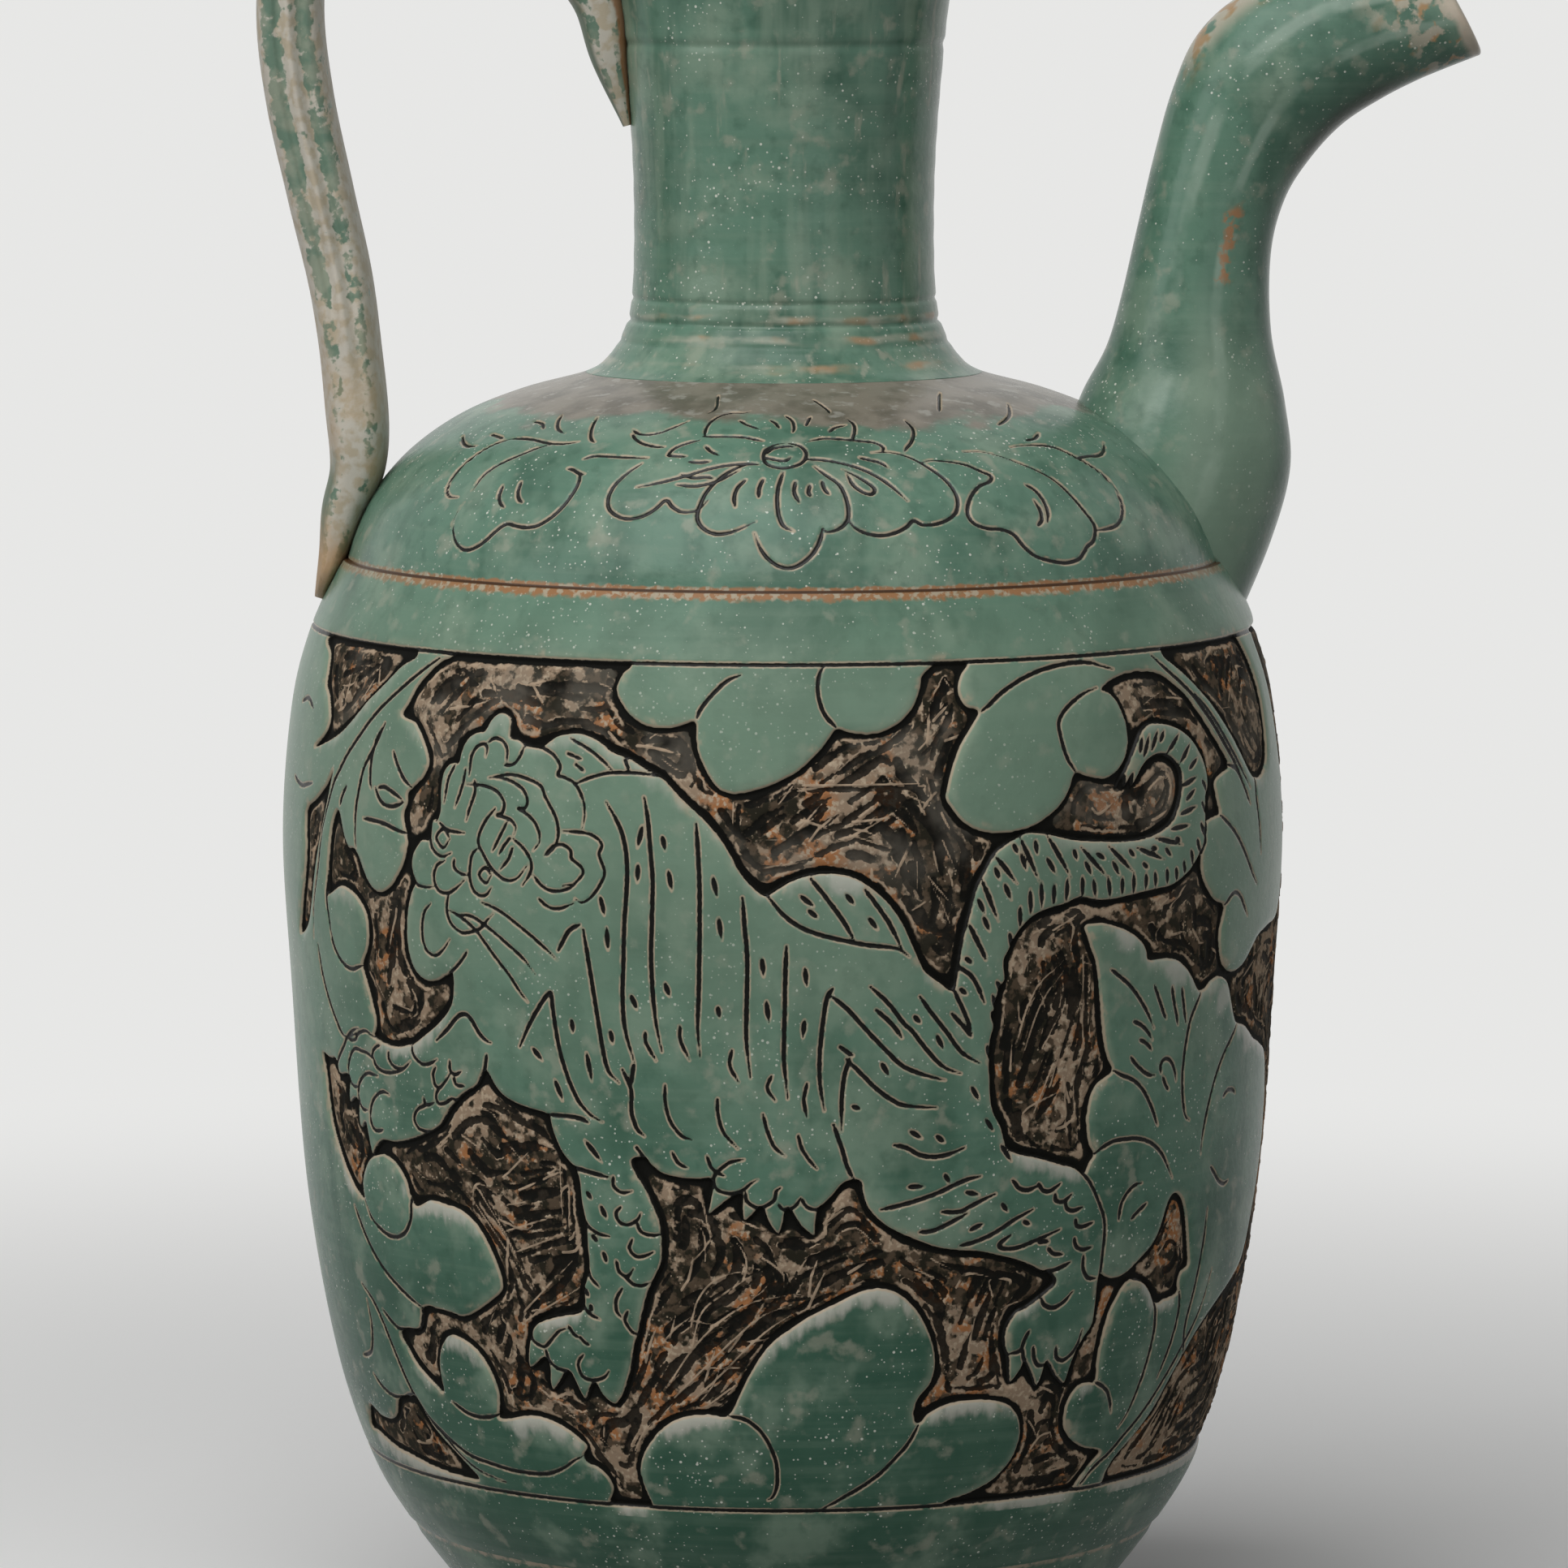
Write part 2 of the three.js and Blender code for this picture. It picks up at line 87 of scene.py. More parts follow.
for name, (place, side, share) in LAMPS.items():
    lamp = bpy.data.lights.new(name, "AREA")
    lamp.size = side * MM
    distance = np.linalg.norm(np.array(place) - AIM) * MM
    lamp.energy = share * np.pi**2 * distance**2
    holder = bpy.data.objects.new(name, lamp)
    holder.location = [c * MM for c in place]
    x, y, z = (AIM - place) / np.linalg.norm(AIM - place)
    holder.rotation_euler = (np.arccos(-z), 0, np.arctan2(-x, y) if (x or y) else 0)
    holder.visible_camera = False
    bpy.context.scene.collection.objects.link(holder)
    print(name, round(lamp.energy, 1), "W")

# %% [markdown]
# Materials are built from nodes. Writing `new node, set inputs, link` again and again hides the recipe, so a
# small helper adds one node per call and hands back its output, which the next call can use as an input.

# %% A helper for node recipes
class Recipe:
    """A node tree under construction. Inputs may be numbers, colours or outputs of other nodes."""

    def __init__(self, tree):
        self.tree = tree

    def add(self, kind, inputs=None, output=0, **settings):
        """A new node with these inputs and settings. Hands back one of its outputs, if it has any."""
        node = self.tree.nodes.new(kind)
        for key, value in settings.items():
            setattr(node, key, value)
        for key, value in (inputs or {}).items():
            self.feed(node.inputs[key], value)
        return node.outputs[output] if len(node.outputs) else node

    def feed(self, socket, value):
        """Links an output to the socket, or writes a number or a colour there."""
        if isinstance(value, bpy.types.NodeSocket):
            self.tree.links.new(value, socket)
        else:
            socket.default_value = (*value, 1) if isinstance(value, tuple) and len(value) == 3 else value

    def math(self, operation, a, b=0.0):
        """One sum on two numbers or outputs."""
        return self.add("ShaderNodeMath", {0: a, 1: b}, operation=operation)

    def step(self, value, low, high):
        """0 below low, 1 above high, an S-curve between; turned round when low is above high."""
        inputs = {"Value": value, "From Min": low, "From Max": high}
        return self.add("ShaderNodeMapRange", inputs, interpolation_type="SMOOTHSTEP")

    def mix(self, share, a, b):
        """Colour a where share is 0, colour b where it is 1."""
        return self.add("ShaderNodeMix", {0: share, 6: a, 7: b}, 2, data_type="RGBA")


# %% [markdown]
# The background is pale paper. The floor keeps the pot's soft shadow near the foot and passes into an even
# pale tone further out, so that no edge of it shows. The world has the same tone for the camera and for
# reflections, and a quieter light for everything else.

# %% Floor and world
PAPER = (0.80, 0.80, 0.79)
BOUNCE = (0.30, 0.30, 0.30)  # how much of the light the floor gives back to the pot
FLOOR_SIDE = 60000
FLOOR_TONE = (0.94, 0.94, 0.93)

world = bpy.data.worlds.new("studio")
bpy.context.scene.world = world
world.use_nodes = True
world.node_tree.nodes.clear()
sky = Recipe(world.node_tree)


def seen_ray(recipe):
    """1 for rays from the camera, a mirror-like face or clear glass, 0 for light that only fills."""
    path = recipe.tree.nodes.new("ShaderNodeLightPath").outputs
    mirrored = recipe.math("MAXIMUM", path["Is Glossy Ray"], path["Is Transmission Ray"])
    return recipe.math("MAXIMUM", path["Is Camera Ray"], mirrored)


fill_light = sky.add("ShaderNodeBackground", {"Color": (1, 1, 1), "Strength": 0.14})
paper_light = sky.add("ShaderNodeBackground", {"Color": PAPER, "Strength": 1.0})
shown = sky.add("ShaderNodeMixShader", {0: seen_ray(sky), 1: fill_light, 2: paper_light})
sky.add("ShaderNodeOutputWorld", {"Surface": shown})

half = FLOOR_SIDE / 2 * MM
floor_mesh = bpy.data.meshes.new("floor")
floor_mesh.from_pydata([(-half, -half, 0), (half, -half, 0), (half, half, 0), (-half, half, 0)], [], [(0, 1, 2, 3)])
floor = bpy.data.objects.new("floor", floor_mesh)
bpy.context.scene.collection.objects.link(floor)

paper = bpy.data.materials.new("paper")
paper.use_nodes = True
paper.node_tree.nodes.clear()
page = Recipe(paper.node_tree)
spot = page.tree.nodes.new("ShaderNodeTexCoord").outputs["Object"]
away = page.add("ShaderNodeVectorMath", {0: spot}, "Value", operation="LENGTH")
seen = seen_ray(page)
far = page.math("MULTIPLY", page.step(away, 0.22, 0.7), seen)
matt = page.add("ShaderNodeBsdfDiffuse", {"Color": page.mix(seen, BOUNCE, FLOOR_TONE)})
even = page.add("ShaderNodeEmission", {"Color": PAPER, "Strength": 1.0})
surface = page.add("ShaderNodeMixShader", {0: far, 1: matt, 2: even})
page.add("ShaderNodeOutputMaterial", {"Surface": surface})
floor_mesh.materials.append(paper)
print("floor", FLOOR_SIDE / 1000, "m a side")

# %% [markdown]
# ## Curves, sheets and shells
#
# A potter's outline is smooth between the few points where it is judged. The same holds here: every profile
# and every carved line is written as a few points, and a Catmull-Rom curve is run through them.

# %% A smooth curve through points
def smooth_line(points, pieces=8, closed=False):
    """Between two neighbours b and c of the points a, b, c, d runs the cubic that starts with the slope
    (c - a) / 2 and ends with the slope (d - b) / 2, cut into pieces of equal parameter."""
    p = np.array(points, float)
    p = np.vstack([p[-1:], p, p[:2]]) if closed else np.vstack([2 * p[:1] - p[1:2], p, 2 * p[-1:] - p[-2:-1]])
    a, b, c, d = p[:-3], p[1:-2], p[2:-1], p[3:]
    t = np.linspace(0, 1, pieces, endpoint=False)[:, None, None]
    curve = b + (c - a) * t / 2 + (a - 2.5 * b + 2 * c - d / 2) * t**2 + (1.5 * (b - c) + (d - a) / 2) * t**3
    curve = curve.transpose(1, 0, 2).reshape(-1, p.shape[1])
    return curve if closed else np.vstack([curve, p[-2]])


def evenly(curve, count):
    """The curve read at count places with equal steps of length."""
    length = np.r_[0, np.cumsum(np.linalg.norm(np.diff(curve, axis=0), axis=1))]
    places = np.linspace(0, length[-1], count)
    return np.stack([np.interp(places, length, axis) for axis in curve.T], 1)


def blend(low, high, value):
    """0 at low, 1 at high and an S-curve between, for arrays."""
    t = np.clip((value - low) / (high - low), 0, 1)
    return t * t * (3 - 2 * t)


# %% [markdown]
# ## The carving, drawn flat
#
# On the pot the picture was drawn on the leather-hard belly, cut round with a bamboo tool, and the ground
# scraped away. Modelling each petal as a separate mesh would give hard joins, and a picture texture would
# stay flat. So the belly is unrolled into a sheet: a grid of points with `s` in millimetres round the belly
# from the front, to the right, and `z` up. Outlines are filled on it, lines are stored as the distance to the
# nearest cut, and the mesh later reads its depth from the sheet. The unrolling radius is 83 mm, the belly's mean.

# %% The sheet
class Sheet:
    """A flat grid of points; columns run once round the pot, rows run up it."""

    def __init__(self, radius, low, high, pitch):
        self.half = np.pi * radius
        self.columns = int(round(2 * self.half / pitch))
        self.rows = int(round((high - low) / pitch)) + 1
        self.s = -self.half + 2 * self.half * np.arange(self.columns) / self.columns
        self.z = np.linspace(low, high, self.rows)
        self.pitch = pitch

    def filled(self, outline):
        """True inside a closed outline: counted from the left, a point is inside after an odd number of
        crossings."""
        a = smooth_line(outline, 4, closed=True)
        b = np.roll(a, -1, 0)
        row, edge = np.nonzero((a[:, 1] <= self.z[:, None]) != (b[:, 1] <= self.z[:, None]))
        part = (self.z[row] - a[edge, 1]) / (b[edge, 1] - a[edge, 1])
        s = a[edge, 0] + part * (b[edge, 0] - a[edge, 0])
        flips = np.zeros((self.rows, self.columns + 1), np.int16)
        np.add.at(flips, (row, np.clip(np.ceil((s - self.s[0]) / self.pitch), 0, self.columns).astype(int)), 1)
        return np.cumsum(flips[:, :-1], axis=1) % 2 == 1

    def engrave(self, gap, path, widths, reach):
        """Lowers gap, each point's distance to the nearest cut, by the distance to each short piece of the
        path less the cut's half-width there. Only points within reach of the piece are looked at."""
        for a, b, width in zip(path[:-1], path[1:], widths):
            c0, c1 = np.searchsorted(self.s, (min(a[0], b[0]) - reach, max(a[0], b[0]) + reach))
            r0, r1 = np.searchsorted(self.z, (min(a[1], b[1]) - reach, max(a[1], b[1]) + reach))
            if c0 == c1 or r0 == r1:
                continue
            s, z = self.s[c0:c1] - a[0], self.z[r0:r1, None] - a[1]
            ds, dz = b - a
            t = np.clip((s * ds + z * dz) / max(ds * ds + dz * dz, 1e-9), 0, 1)
            window = gap[r0:r1, c0:c1]
            np.minimum(window, np.hypot(s - t * ds, z - t * dz) - width, out=window)

    def soften(self, field, spread):
        """The field averaged over a bell curve of this spread in mm, round the pot and up it."""
        steps = int(np.ceil(3 * spread / self.pitch))
        bell = np.exp(-0.5 * (np.arange(-steps, steps + 1) * self.pitch / spread) ** 2)
        bell /= bell.sum()
        field = np.asarray(field, np.float32)
        wide = np.concatenate([field[:, -steps:], field, field[:, :steps]], 1)
        tall = sum(w * wide[:, i : i + field.shape[1]] for i, w in enumerate(bell))
        tall = np.pad(tall, ((steps, steps), (0, 0)), "edge")
        return sum(w * tall[i : i + field.shape[0]] for i, w in enumerate(bell)).astype(np.float32)

    def read(self, field, s, z):
        """The field at any places, straight-line blended between the four points round each."""
        c = (np.asarray(s) - self.s[0]) / (2 * self.half) * self.columns
        r = np.clip((np.asarray(z) - self.z[0]) / (self.z[-1] - self.z[0]) * (self.rows - 1), 0, self.rows - 1.001)
        c0, r0 = np.floor(c).astype(int), np.floor(r).astype(int)
        fc, fr = c - c0, r - r0
        c0, c1 = c0 % self.columns, (c0 + 1) % self.columns
        low = field[r0, c0] * (1 - fc) + field[r0, c1] * fc
        high = field[r0 + 1, c0] * (1 - fc) + field[r0 + 1, c1] * fc
        return low * (1 - fr) + high * fr


BELLY_R = 83.0
BAND = (40.6, 180.2)
belly_sheet = Sheet(BELLY_R, BAND[0] - 2, BAND[1] + 2, 0.2)
print("belly sheet", belly_sheet.rows, "x", belly_sheet.columns, "points")

# %% [markdown]
# ### Raised forms
#
# What stands proud is written as closed outlines, each a run of `s,z, s,z, ...` in millimetres. The great
# petals and leaves touch the band's edges, and the tiger walks through them.

# %% Leaves and petals that stand proud
LEAF_MASS_LEFT = (
    -61.5,183, -61.7,179.9, -64,178.8, -66.5,176.8, -68.5,174.5, -69.8,172, -71,169.8, -70,169.3, -67.5,168.6,
    -65.5,166.5, -63.9,164, -63.5,162, -64.5,160, -66.5,158.3, -67.9,157, -67.9,155.6, -68.7,153.5, -68,151,
    -67.5,148.8, -68.2,146, -69.8,143.5, -72,141.2, -75,140, -77.5,141, -79.5,143.5, -80.9,145.7, -82.4,146.8,
    -84,146.5, -85.2,147.8, -86.4,150, -87.2,152.2, -88.2,152.4, -89.8,150, -90.7,146, -91.4,142, -91.6,138.3,
    -89.5,139, -86.5,140.1, -83,139.5, -80.4,138, -78.8,136, -78.4,133, -79.2,130.2, -80.8,127.5, -80,125,
    -79,122.5, -78.2,120, -77.8,118, -79,115.5, -84,112, -90,109.5, -93,110.3, -96,110, -98.3,110.6, -97.6,107,
    -97,103, -96,99, -94,95.5, -91,91.5, -88,88.8, -85,87.6, -85.7,90, -84.5,92.5, -82.5,94.6, -80,95.6, -77.5,96,
    -74.5,95, -72,92.5, -70.9,89.6, -69.4,88.3, -66,89.7, -62,89.4, -59,88.9, -56.5,87.6, -54.5,85.7, -52.9,83.2,
    -51.6,80.4, -50.9,78, -51.1,76, -53,74.4, -55.5,72.8, -58,71.4, -60.8,70.5, -64,70.9, -68,71.2, -70.8,70.9,
    -71.5,68.5, -72.8,66.9, -75,66.4, -78.4,66, -78.7,64.8, -77.3,63, -75.5,60.8, -73,59, -70.5,57.5, -68.7,56.8,
    -69,60, -68.3,63.3, -66.5,65.8, -64.5,67, -62,66.8, -59.5,65.8, -57.4,64.2, -55.7,61.6, -54.7,58.5, -55,55.6,
    -55.4,53.8, -53,53.9, -50,54.6, -47,54.9, -44,54.5, -41,53.4, -38.6,51.9, -37,50.3, -38,48.8, -37.4,47.6,
    -35.5,46.9, -33.8,45.6, -32.9,43.8, -33.2,42.3, -34,41.2, -36,38, -60,37, -100,37, -126,38, -130,60, -128,90,
    -130,120, -127,150, -130,183, -100,184,
)
TOP_PETALS_MIDDLE = (
    -25,183, -25.8,180, -27.4,178.6, -28.2,176.6, -27.8,174.8, -26.2,172.8, -24.6,171.4, -22.6,170.4, -20.4,170.1,
    -18,170.2, -16,170.8, -14.5,171.3, -14.3,169.5, -13.9,166.5, -12.8,164, -11.6,161.9, -10.2,160.4, -8.4,159.8,
    -6.4,159.9, -4.4,160.4, -1.5,161.4, 1.5,162.9, 4,164.8, 6,166.9, 7.5,168.8, 8.6,170.2, 10.4,169.6, 13,169.2,
    15.5,169.4, 18,170.4, 20,171.8, 21.6,173.7, 22.7,176, 23.2,178, 23.4,183,
)
TOP_PETALS_RIGHT = (
    32,183, 31.7,180.2, 30.2,178.4, 29.4,176.4, 29.6,174.6, 30.5,173.2, 32.6,172.4, 31,170, 29.4,167.8, 28.2,165.5,
    27.2,163, 26.5,160.5, 26.2,158.6, 27,157.2, 28.2,155.6, 29.6,154.3, 31.5,153.3, 33.5,152.8, 35.5,152.6,
    37.8,152.8, 40,153.2, 42,153.8, 44,154.8, 46,156.1, 47.6,157.7, 48.8,159.6, 49.7,161.6, 52,161, 54,160.5,
    56.2,160.4, 58.2,161.2, 59.8,162.6, 61,164.6, 61.6,166.8, 61.5,169, 60.8,171.2, 59.8,173.2, 58.4,174.3,
    56.8,174.6, 58.3,175.5, 60.5,176.3, 63.5,176.9, 67,177, 70,176.7, 72.6,175.9, 75,174.4, 77.5,172.6, 80,170,
    82.5,167.3, 85,164.5, 87.5,161.8, 88.6,159.7, 86,158.9, 83.6,157.8, 83.5,156, 84,153.8, 84.3,152.3, 82,151.9,
    80,151.4, 79.2,149.4, 78.4,147.5, 78.2,145, 78.6,142.8, 79.8,140.8, 81.5,139, 83.5,137.7, 85.8,136.9, 85.6,135,
    85,133, 85,131, 85.6,128.8, 86.6,127, 88.2,125.8, 90,125.2, 92,125.1, 94,125.5, 96.2,126.4, 98.5,128, 102,130,
    108,131, 116,133, 119,150, 116,170, 112,183, 102,183, 106,176, 108,168, 107,160, 103,157, 99,157, 97,158.2,
    95,160.3, 93,162.6, 90.5,165.2, 88,167.8, 85.5,170.3, 82.5,172.8, 79.5,175.3, 76.5,177.4, 73.5,179.4, 71,183,
)
PETAL_MASS_RIGHT = (
    51.3,136.7, 54.5,136.9, 58,136, 61,134.8, 63.5,133.2, 65,131.4, 65,130.1, 66.5,129.7, 69.5,129.7, 72.5,129.2,
    75,127.9, 77.2,126, 78.8,123.9, 79.8,123.2, 81.5,123.6, 83,124.5, 85,125, 87,124.8, 89,123.8, 90.2,122.2,
    91.2,120.2, 92.3,118, 93.4,116.6, 95.6,115.9, 98,115.3, 100.5,114, 103,112.6, 108,111, 113,108, 116,95, 113,82,
    110,74, 104,71, 98,68.6, 94,66.6, 91,64.8, 88.5,62.8, 86,60.2, 83,57, 80,53, 77.5,50.4, 74,47.4, 70.8,45,
    69.4,42.6, 68,38, 60,38, 61.6,42, 64,44.8, 65.6,46.6, 64.5,47.1, 62,47.6, 60,48.2, 58,49.2, 56.3,50.4, 54.9,52,
    54.3,54, 54.4,56, 55.2,57.8, 56.4,59, 58.3,59.6, 60.3,59.4, 60.6,60.6, 60.3,63, 60.5,66, 61,69, 61.8,71.6,
    63,73.6, 64.3,75.4, 66,76.3, 68,76.2, 70,75.3, 71.8,73.8, 73.2,71.9, 74.4,71.2, 76,71.6, 78,71.8, 80.2,72.4,
    80,74, 80.6,75.8, 82.4,76.6, 82.2,78.4, 81.2,81.4, 80.2,84.4, 79,87.2, 77.5,89, 75.8,89.8, 74.4,88.8, 73.6,86.8,
    72.8,84.4, 71.6,82.3, 70,80.8, 68,79.5, 66,78.2, 64,77.2, 61.8,76.9, 60,77.3, 58.4,78.2, 56,80, 54,86, 52,92,
    53.4,95.6, 54.1,97, 55.1,98.5, 54.2,99.8, 53.5,102, 53.2,104.5, 53.5,107, 54.2,109, 55.4,110.4, 57,111.2,
    58.3,112.2, 57.2,114.2, 56.2,117, 55.6,120, 55,124, 54.3,128, 53.6,130.8, 52.6,132.8, 51.8,134.8,
)
BOTTOM_PETALS_MIDDLE = (
    -25,38, -25.4,40.8, -26.4,43.2, -27,46, -26.8,48, -25.8,50.2, -24.1,52.4, -22,54.5, -19.4,56.1, -16.3,57,
    -13,57.2, -10.4,56.9, -9,58.2, -7.2,61.8, -5.7,64.6, -3.8,67.6, -1.7,70, 1,71.9, 4,73.9, 7,75.4, 10,76.8,
    12.8,78.1, 15.3,78.6, 17.6,78.4, 19.8,77.4, 21.8,75.8, 23.6,73.6, 25,71.2, 26.2,68.4, 26.7,65.6, 26.5,63,
    25.6,61.2, 24.2,59.8, 23.5,58, 23.6,55.8, 24.6,55.4, 26,56.8, 28,57.8, 30.5,58.5, 33.5,58.7, 36.6,58.6,
    39.6,58.1, 42.3,57, 44.2,55, 45.1,52.5, 45,50, 44.4,48, 43,46, 41,44.2, 38.3,42.9, 35.3,41.9, 31,40.9, 27,38,
)
GROUND_PATCHES = (
    (-104,180, -101,177.5, -99.5,175, -98.5,172.5, -96.5,171, -95,169, -94.3,167, -95,165, -97,163.3, -99.5,161.8,
     -94,163.5, -89,165.5, -85,168.3, -82,171, -78,174, -74,177.5, -70.5,180, -85,183),
    (-101.5,151, -97,153.5, -92.5,156.5, -90,159.4, -91,157, -93,152, -95,147, -97.5,141, -99.5,136, -102,132,
     -107,130, -105,135, -102.5,140, -101.3,145),
    (-84.5,53.5, -80.5,54.2, -78.5,54.7, -77,53, -75.5,51, -73,48.5, -70,46.3, -67,44, -64.5,42, -70,41.8, -78,42.3,
     -86,43.3, -92,43.8, -100,45.3, -104,46, -100,50, -95,48.7, -90,49, -87,50.5),
)
FOLIAGE = (LEAF_MASS_LEFT, TOP_PETALS_MIDDLE, TOP_PETALS_RIGHT, PETAL_MASS_RIGHT, BOTTOM_PETALS_MIDDLE)


def pairs(run):
    """A run s, z, s, z, ... as points."""
    return np.array(run, float).reshape(-1, 2)


raised = np.zeros((belly_sheet.rows, belly_sheet.columns), bool)
for outline in FOLIAGE:
    raised |= belly_sheet.filled(pairs(outline))
for outline in GROUND_PATCHES:
    raised &= ~belly_sheet.filled(pairs(outline))
print("foliage covers", round(100 * raised.mean()), "% of the band")

# %% [markdown]
# The tiger walks to the left with its head turned to us. One paw is lifted towards the leaves, its back
# drops to the haunch, and its tail rises and curls at the upper right.

# %% The tiger's outline
TIGER = (
    -65.4,142.6, -66.6,144.6, -66.3,147.5, -64.4,149.8, -62.2,150, -62.2,152.5, -61.6,153.6, -60.8,153.2, -60.3,155,
    -60.5,158, -60.2,161, -59,162.6, -57.4,163, -56.8,162.9, -56.6,164.5, -56,166.2, -54.6,167.7, -52.8,168.3,
    -51.9,168.5, -51,170.3, -49.6,171.5, -48,171.5, -46.8,170.4, -46.7,168.6, -46.4,167.6, -45,167.4, -43.6,166.7,
    -41,166.4, -40,167, -38,168.4, -35.5,169, -33,168.9, -30,167.7, -28,166.3, -25,165.3, -22.3,163.8, -19.3,162.2,
    -17.3,160.3, -15.3,158.3, -12.7,156, -10,153, -8.3,150.3, -6.7,147.3, -4.7,145, -3,143.7, -1.3,144.6, 1,146,
    4,147, 7.3,147.3, 10.7,146.7, 13.3,145.3, 15.7,143.3, 17.7,141, 19.5,138, 22,132.5, 23,130.7, 25.3,129,
    27.3,127.6, 27.8,130, 28.3,133.3, 28.8,136.3, 29.5,139, 30.3,142, 31,144.3, 32.3,146.7, 34,149.5, 36,151,
    38,152, 40,152.8, 42.5,152.6, 44.7,152.2, 48,151.3, 51.3,150.8, 54.7,150.5, 57.7,150.2, 61.4,150.1, 65.1,150.5,
    68.1,151.3, 70.7,152.7, 72.5,155.3, 73.4,157.9, 73.3,160.5, 71.4,162.4, 68.8,163.3, 65.9,162.7, 64,161.3,
    62.6,159.5, 61.5,158.3, 61.6,160.6, 60.4,158.8, 59.8,158.6, 59.9,160.4, 58.4,158.5, 58.1,159, 59.6,160.9,
    61.4,163.5, 63.3,166.1, 64.7,167.7, 66.6,168.7, 68.8,168.7, 71.4,168.3, 74.7,167.2, 77.7,165.3, 79.6,163.1,
    80.7,161.3, 81.4,159, 81.2,156.6, 80.3,155.6, 80.2,153.4, 79.7,151.5, 79.3,150, 78.9,147.8, 77.8,146.3,
    76.7,144.9, 75.6,143.8, 74.2,143, 72.5,142.2, 69.9,141.4, 65.1,141.1, 60,140.6, 56,140.3, 53,140.5, 50,141.2,
    47.3,140.3, 44,139.7, 41.3,138.7, 39.3,137, 38,135.3, 37.3,133.7, 36.3,131.7, 36.7,128.7, 35.6,127.2, 35.2,125,
    34.7,122.8, 35,121, 34.4,119, 34.4,116.5, 34.3,114.7, 34.5,112.7, 34.7,109.7, 35.3,107, 36.7,104.7, 37.3,102.7,
    38,101, 40,100, 44,99, 48,97.7, 51.3,96.7, 53.3,95, 54.7,93.3, 56.6,90.2, 58,87.2, 58.3,84.5, 58.2,80.6,
    58.2,77.5, 58.3,72.9, 58.2,69.5, 56.6,67.5, 55.1,65.2, 54.1,62.2, 53.5,59.5, 50.8,61.4, 48.5,64.1, 48.2,61.8,
    47.4,59.5, 45.8,61.8, 43.9,64.5, 43.5,63.3, 41.6,60.6, 40.8,62.9, 40.3,65.6, 39.7,66.8, 39.1,69.1, 39.7,71.4,
    41.2,73.3, 43.2,74.1, 45.1,75.2, 47,76.4, 48.5,77.7, 47.4,79.1, 45.8,79.5, 43.5,80.6, 40.5,81.8, 37.4,82.7,
    33.5,83.7, 29.7,84.1, 25.8,84.8, 23.1,85.8, 19.2,87.5, 16.2,89.3, 13.8,91.8, 12.7,94.5, 12.4,96.3, 11.3,96.6,
    9.7,96, 8.3,94.3, 6.7,92.7, 5.8,92, 5.4,89.5, 5.2,87.2, 2.7,89.1, 1,91.8, 0.4,92, 0,89.5, -1,87.5, -2.9,90.2,
    -3.6,92.4, -5,91, -6.7,89.7, -7.1,92.5, -7,94.6, -9.2,93.3, -12.7,90.6, -12.3,93.5, -11.8,96.7, -14,96.6,
    -16.7,96.7, -20,97.3, -22.3,99, -23.3,99.9, -25,99.5, -24.3,97.4, -22.9,95.2, -21.4,92, -20.5,89.5, -20.2,86.3,
    -20.4,82.7, -21.8,79.9, -23.2,77, -24.3,73.4, -25.2,70.2, -25.9,68.4, -26.8,64.5, -27.9,61.6, -28.9,59.5,
    -30.7,57.9, -32.9,59.5, -34.2,61.6, -36.4,58.1, -37.9,61.3, -39,63.3, -41.1,60.9, -42.9,59.3, -43.3,61,
    -42.9,63.4, -43.4,65.2, -45.7,63.6, -47.5,63.1, -46.6,67.7, -45.9,68.8, -45.7,69.9, -44.3,71.3, -41.4,72.4,
    -38.6,73.1, -35.7,73.8, -34.9,75.5, -35,77.4, -34.2,79.6, -33.7,81.3, -33.8,84.9, -33.8,87.7, -34.1,89.9,
    -34.5,92, -34.8,95.9, -35.4,97.5, -36,98.2, -37.7,100, -39,102.7, -39.7,105, -40,106.2, -43,106.8, -46,107.5,
    -48.7,108.7, -50.3,110.3, -51.5,112.4, -52.3,112.3, -53.7,110, -56,108.7, -58,107.3, -60.3,105, -62,102.8,
    -64,101.5, -66,100.7, -67.4,100.1, -70.9,99, -74.5,98.3, -77.7,98.3, -79.9,96.9, -81.3,95.4, -82.1,97,
    -82.4,98.9, -82.6,100.8, -84,99.9, -85.6,99.6, -85.1,102.2, -84.7,104, -86.2,104.4, -89.1,103.2, -88.2,105.7,
    -87.3,107.6, -88.6,108.2, -90.6,107.8, -92.5,107.8, -92,109.4, -89.9,111.9, -87,114.5, -84.8,115.3, -82.4,116,
    -80.6,116.3, -79.1,115.8, -76.3,115.1, -72.7,114.7, -69.1,115.4, -67.7,115.8, -64.7,117.7, -62.3,119.3,
    -60,121.3, -58.5,123.3, -58,126, -57.8,128.2, -58.7,128, -61,126.8, -63.3,126.3, -65.3,126.8, -67,128.3,
    -68,131, -68.2,134, -67.7,138, -66.5,141.3,
)
raised |= belly_sheet.filled(pairs(TIGER))
print("with the tiger", round(100 * raised.mean()), "%")

# %% [markdown]
# ### Cut lines
#
# Inside the raised forms the drawing goes on as lines cut with the tool's corner: broad ones for stripes and
# petal edges, fine ones for the face. Each is an open run of points, and its width swells and tapers the way
# that a pulled tool cuts.

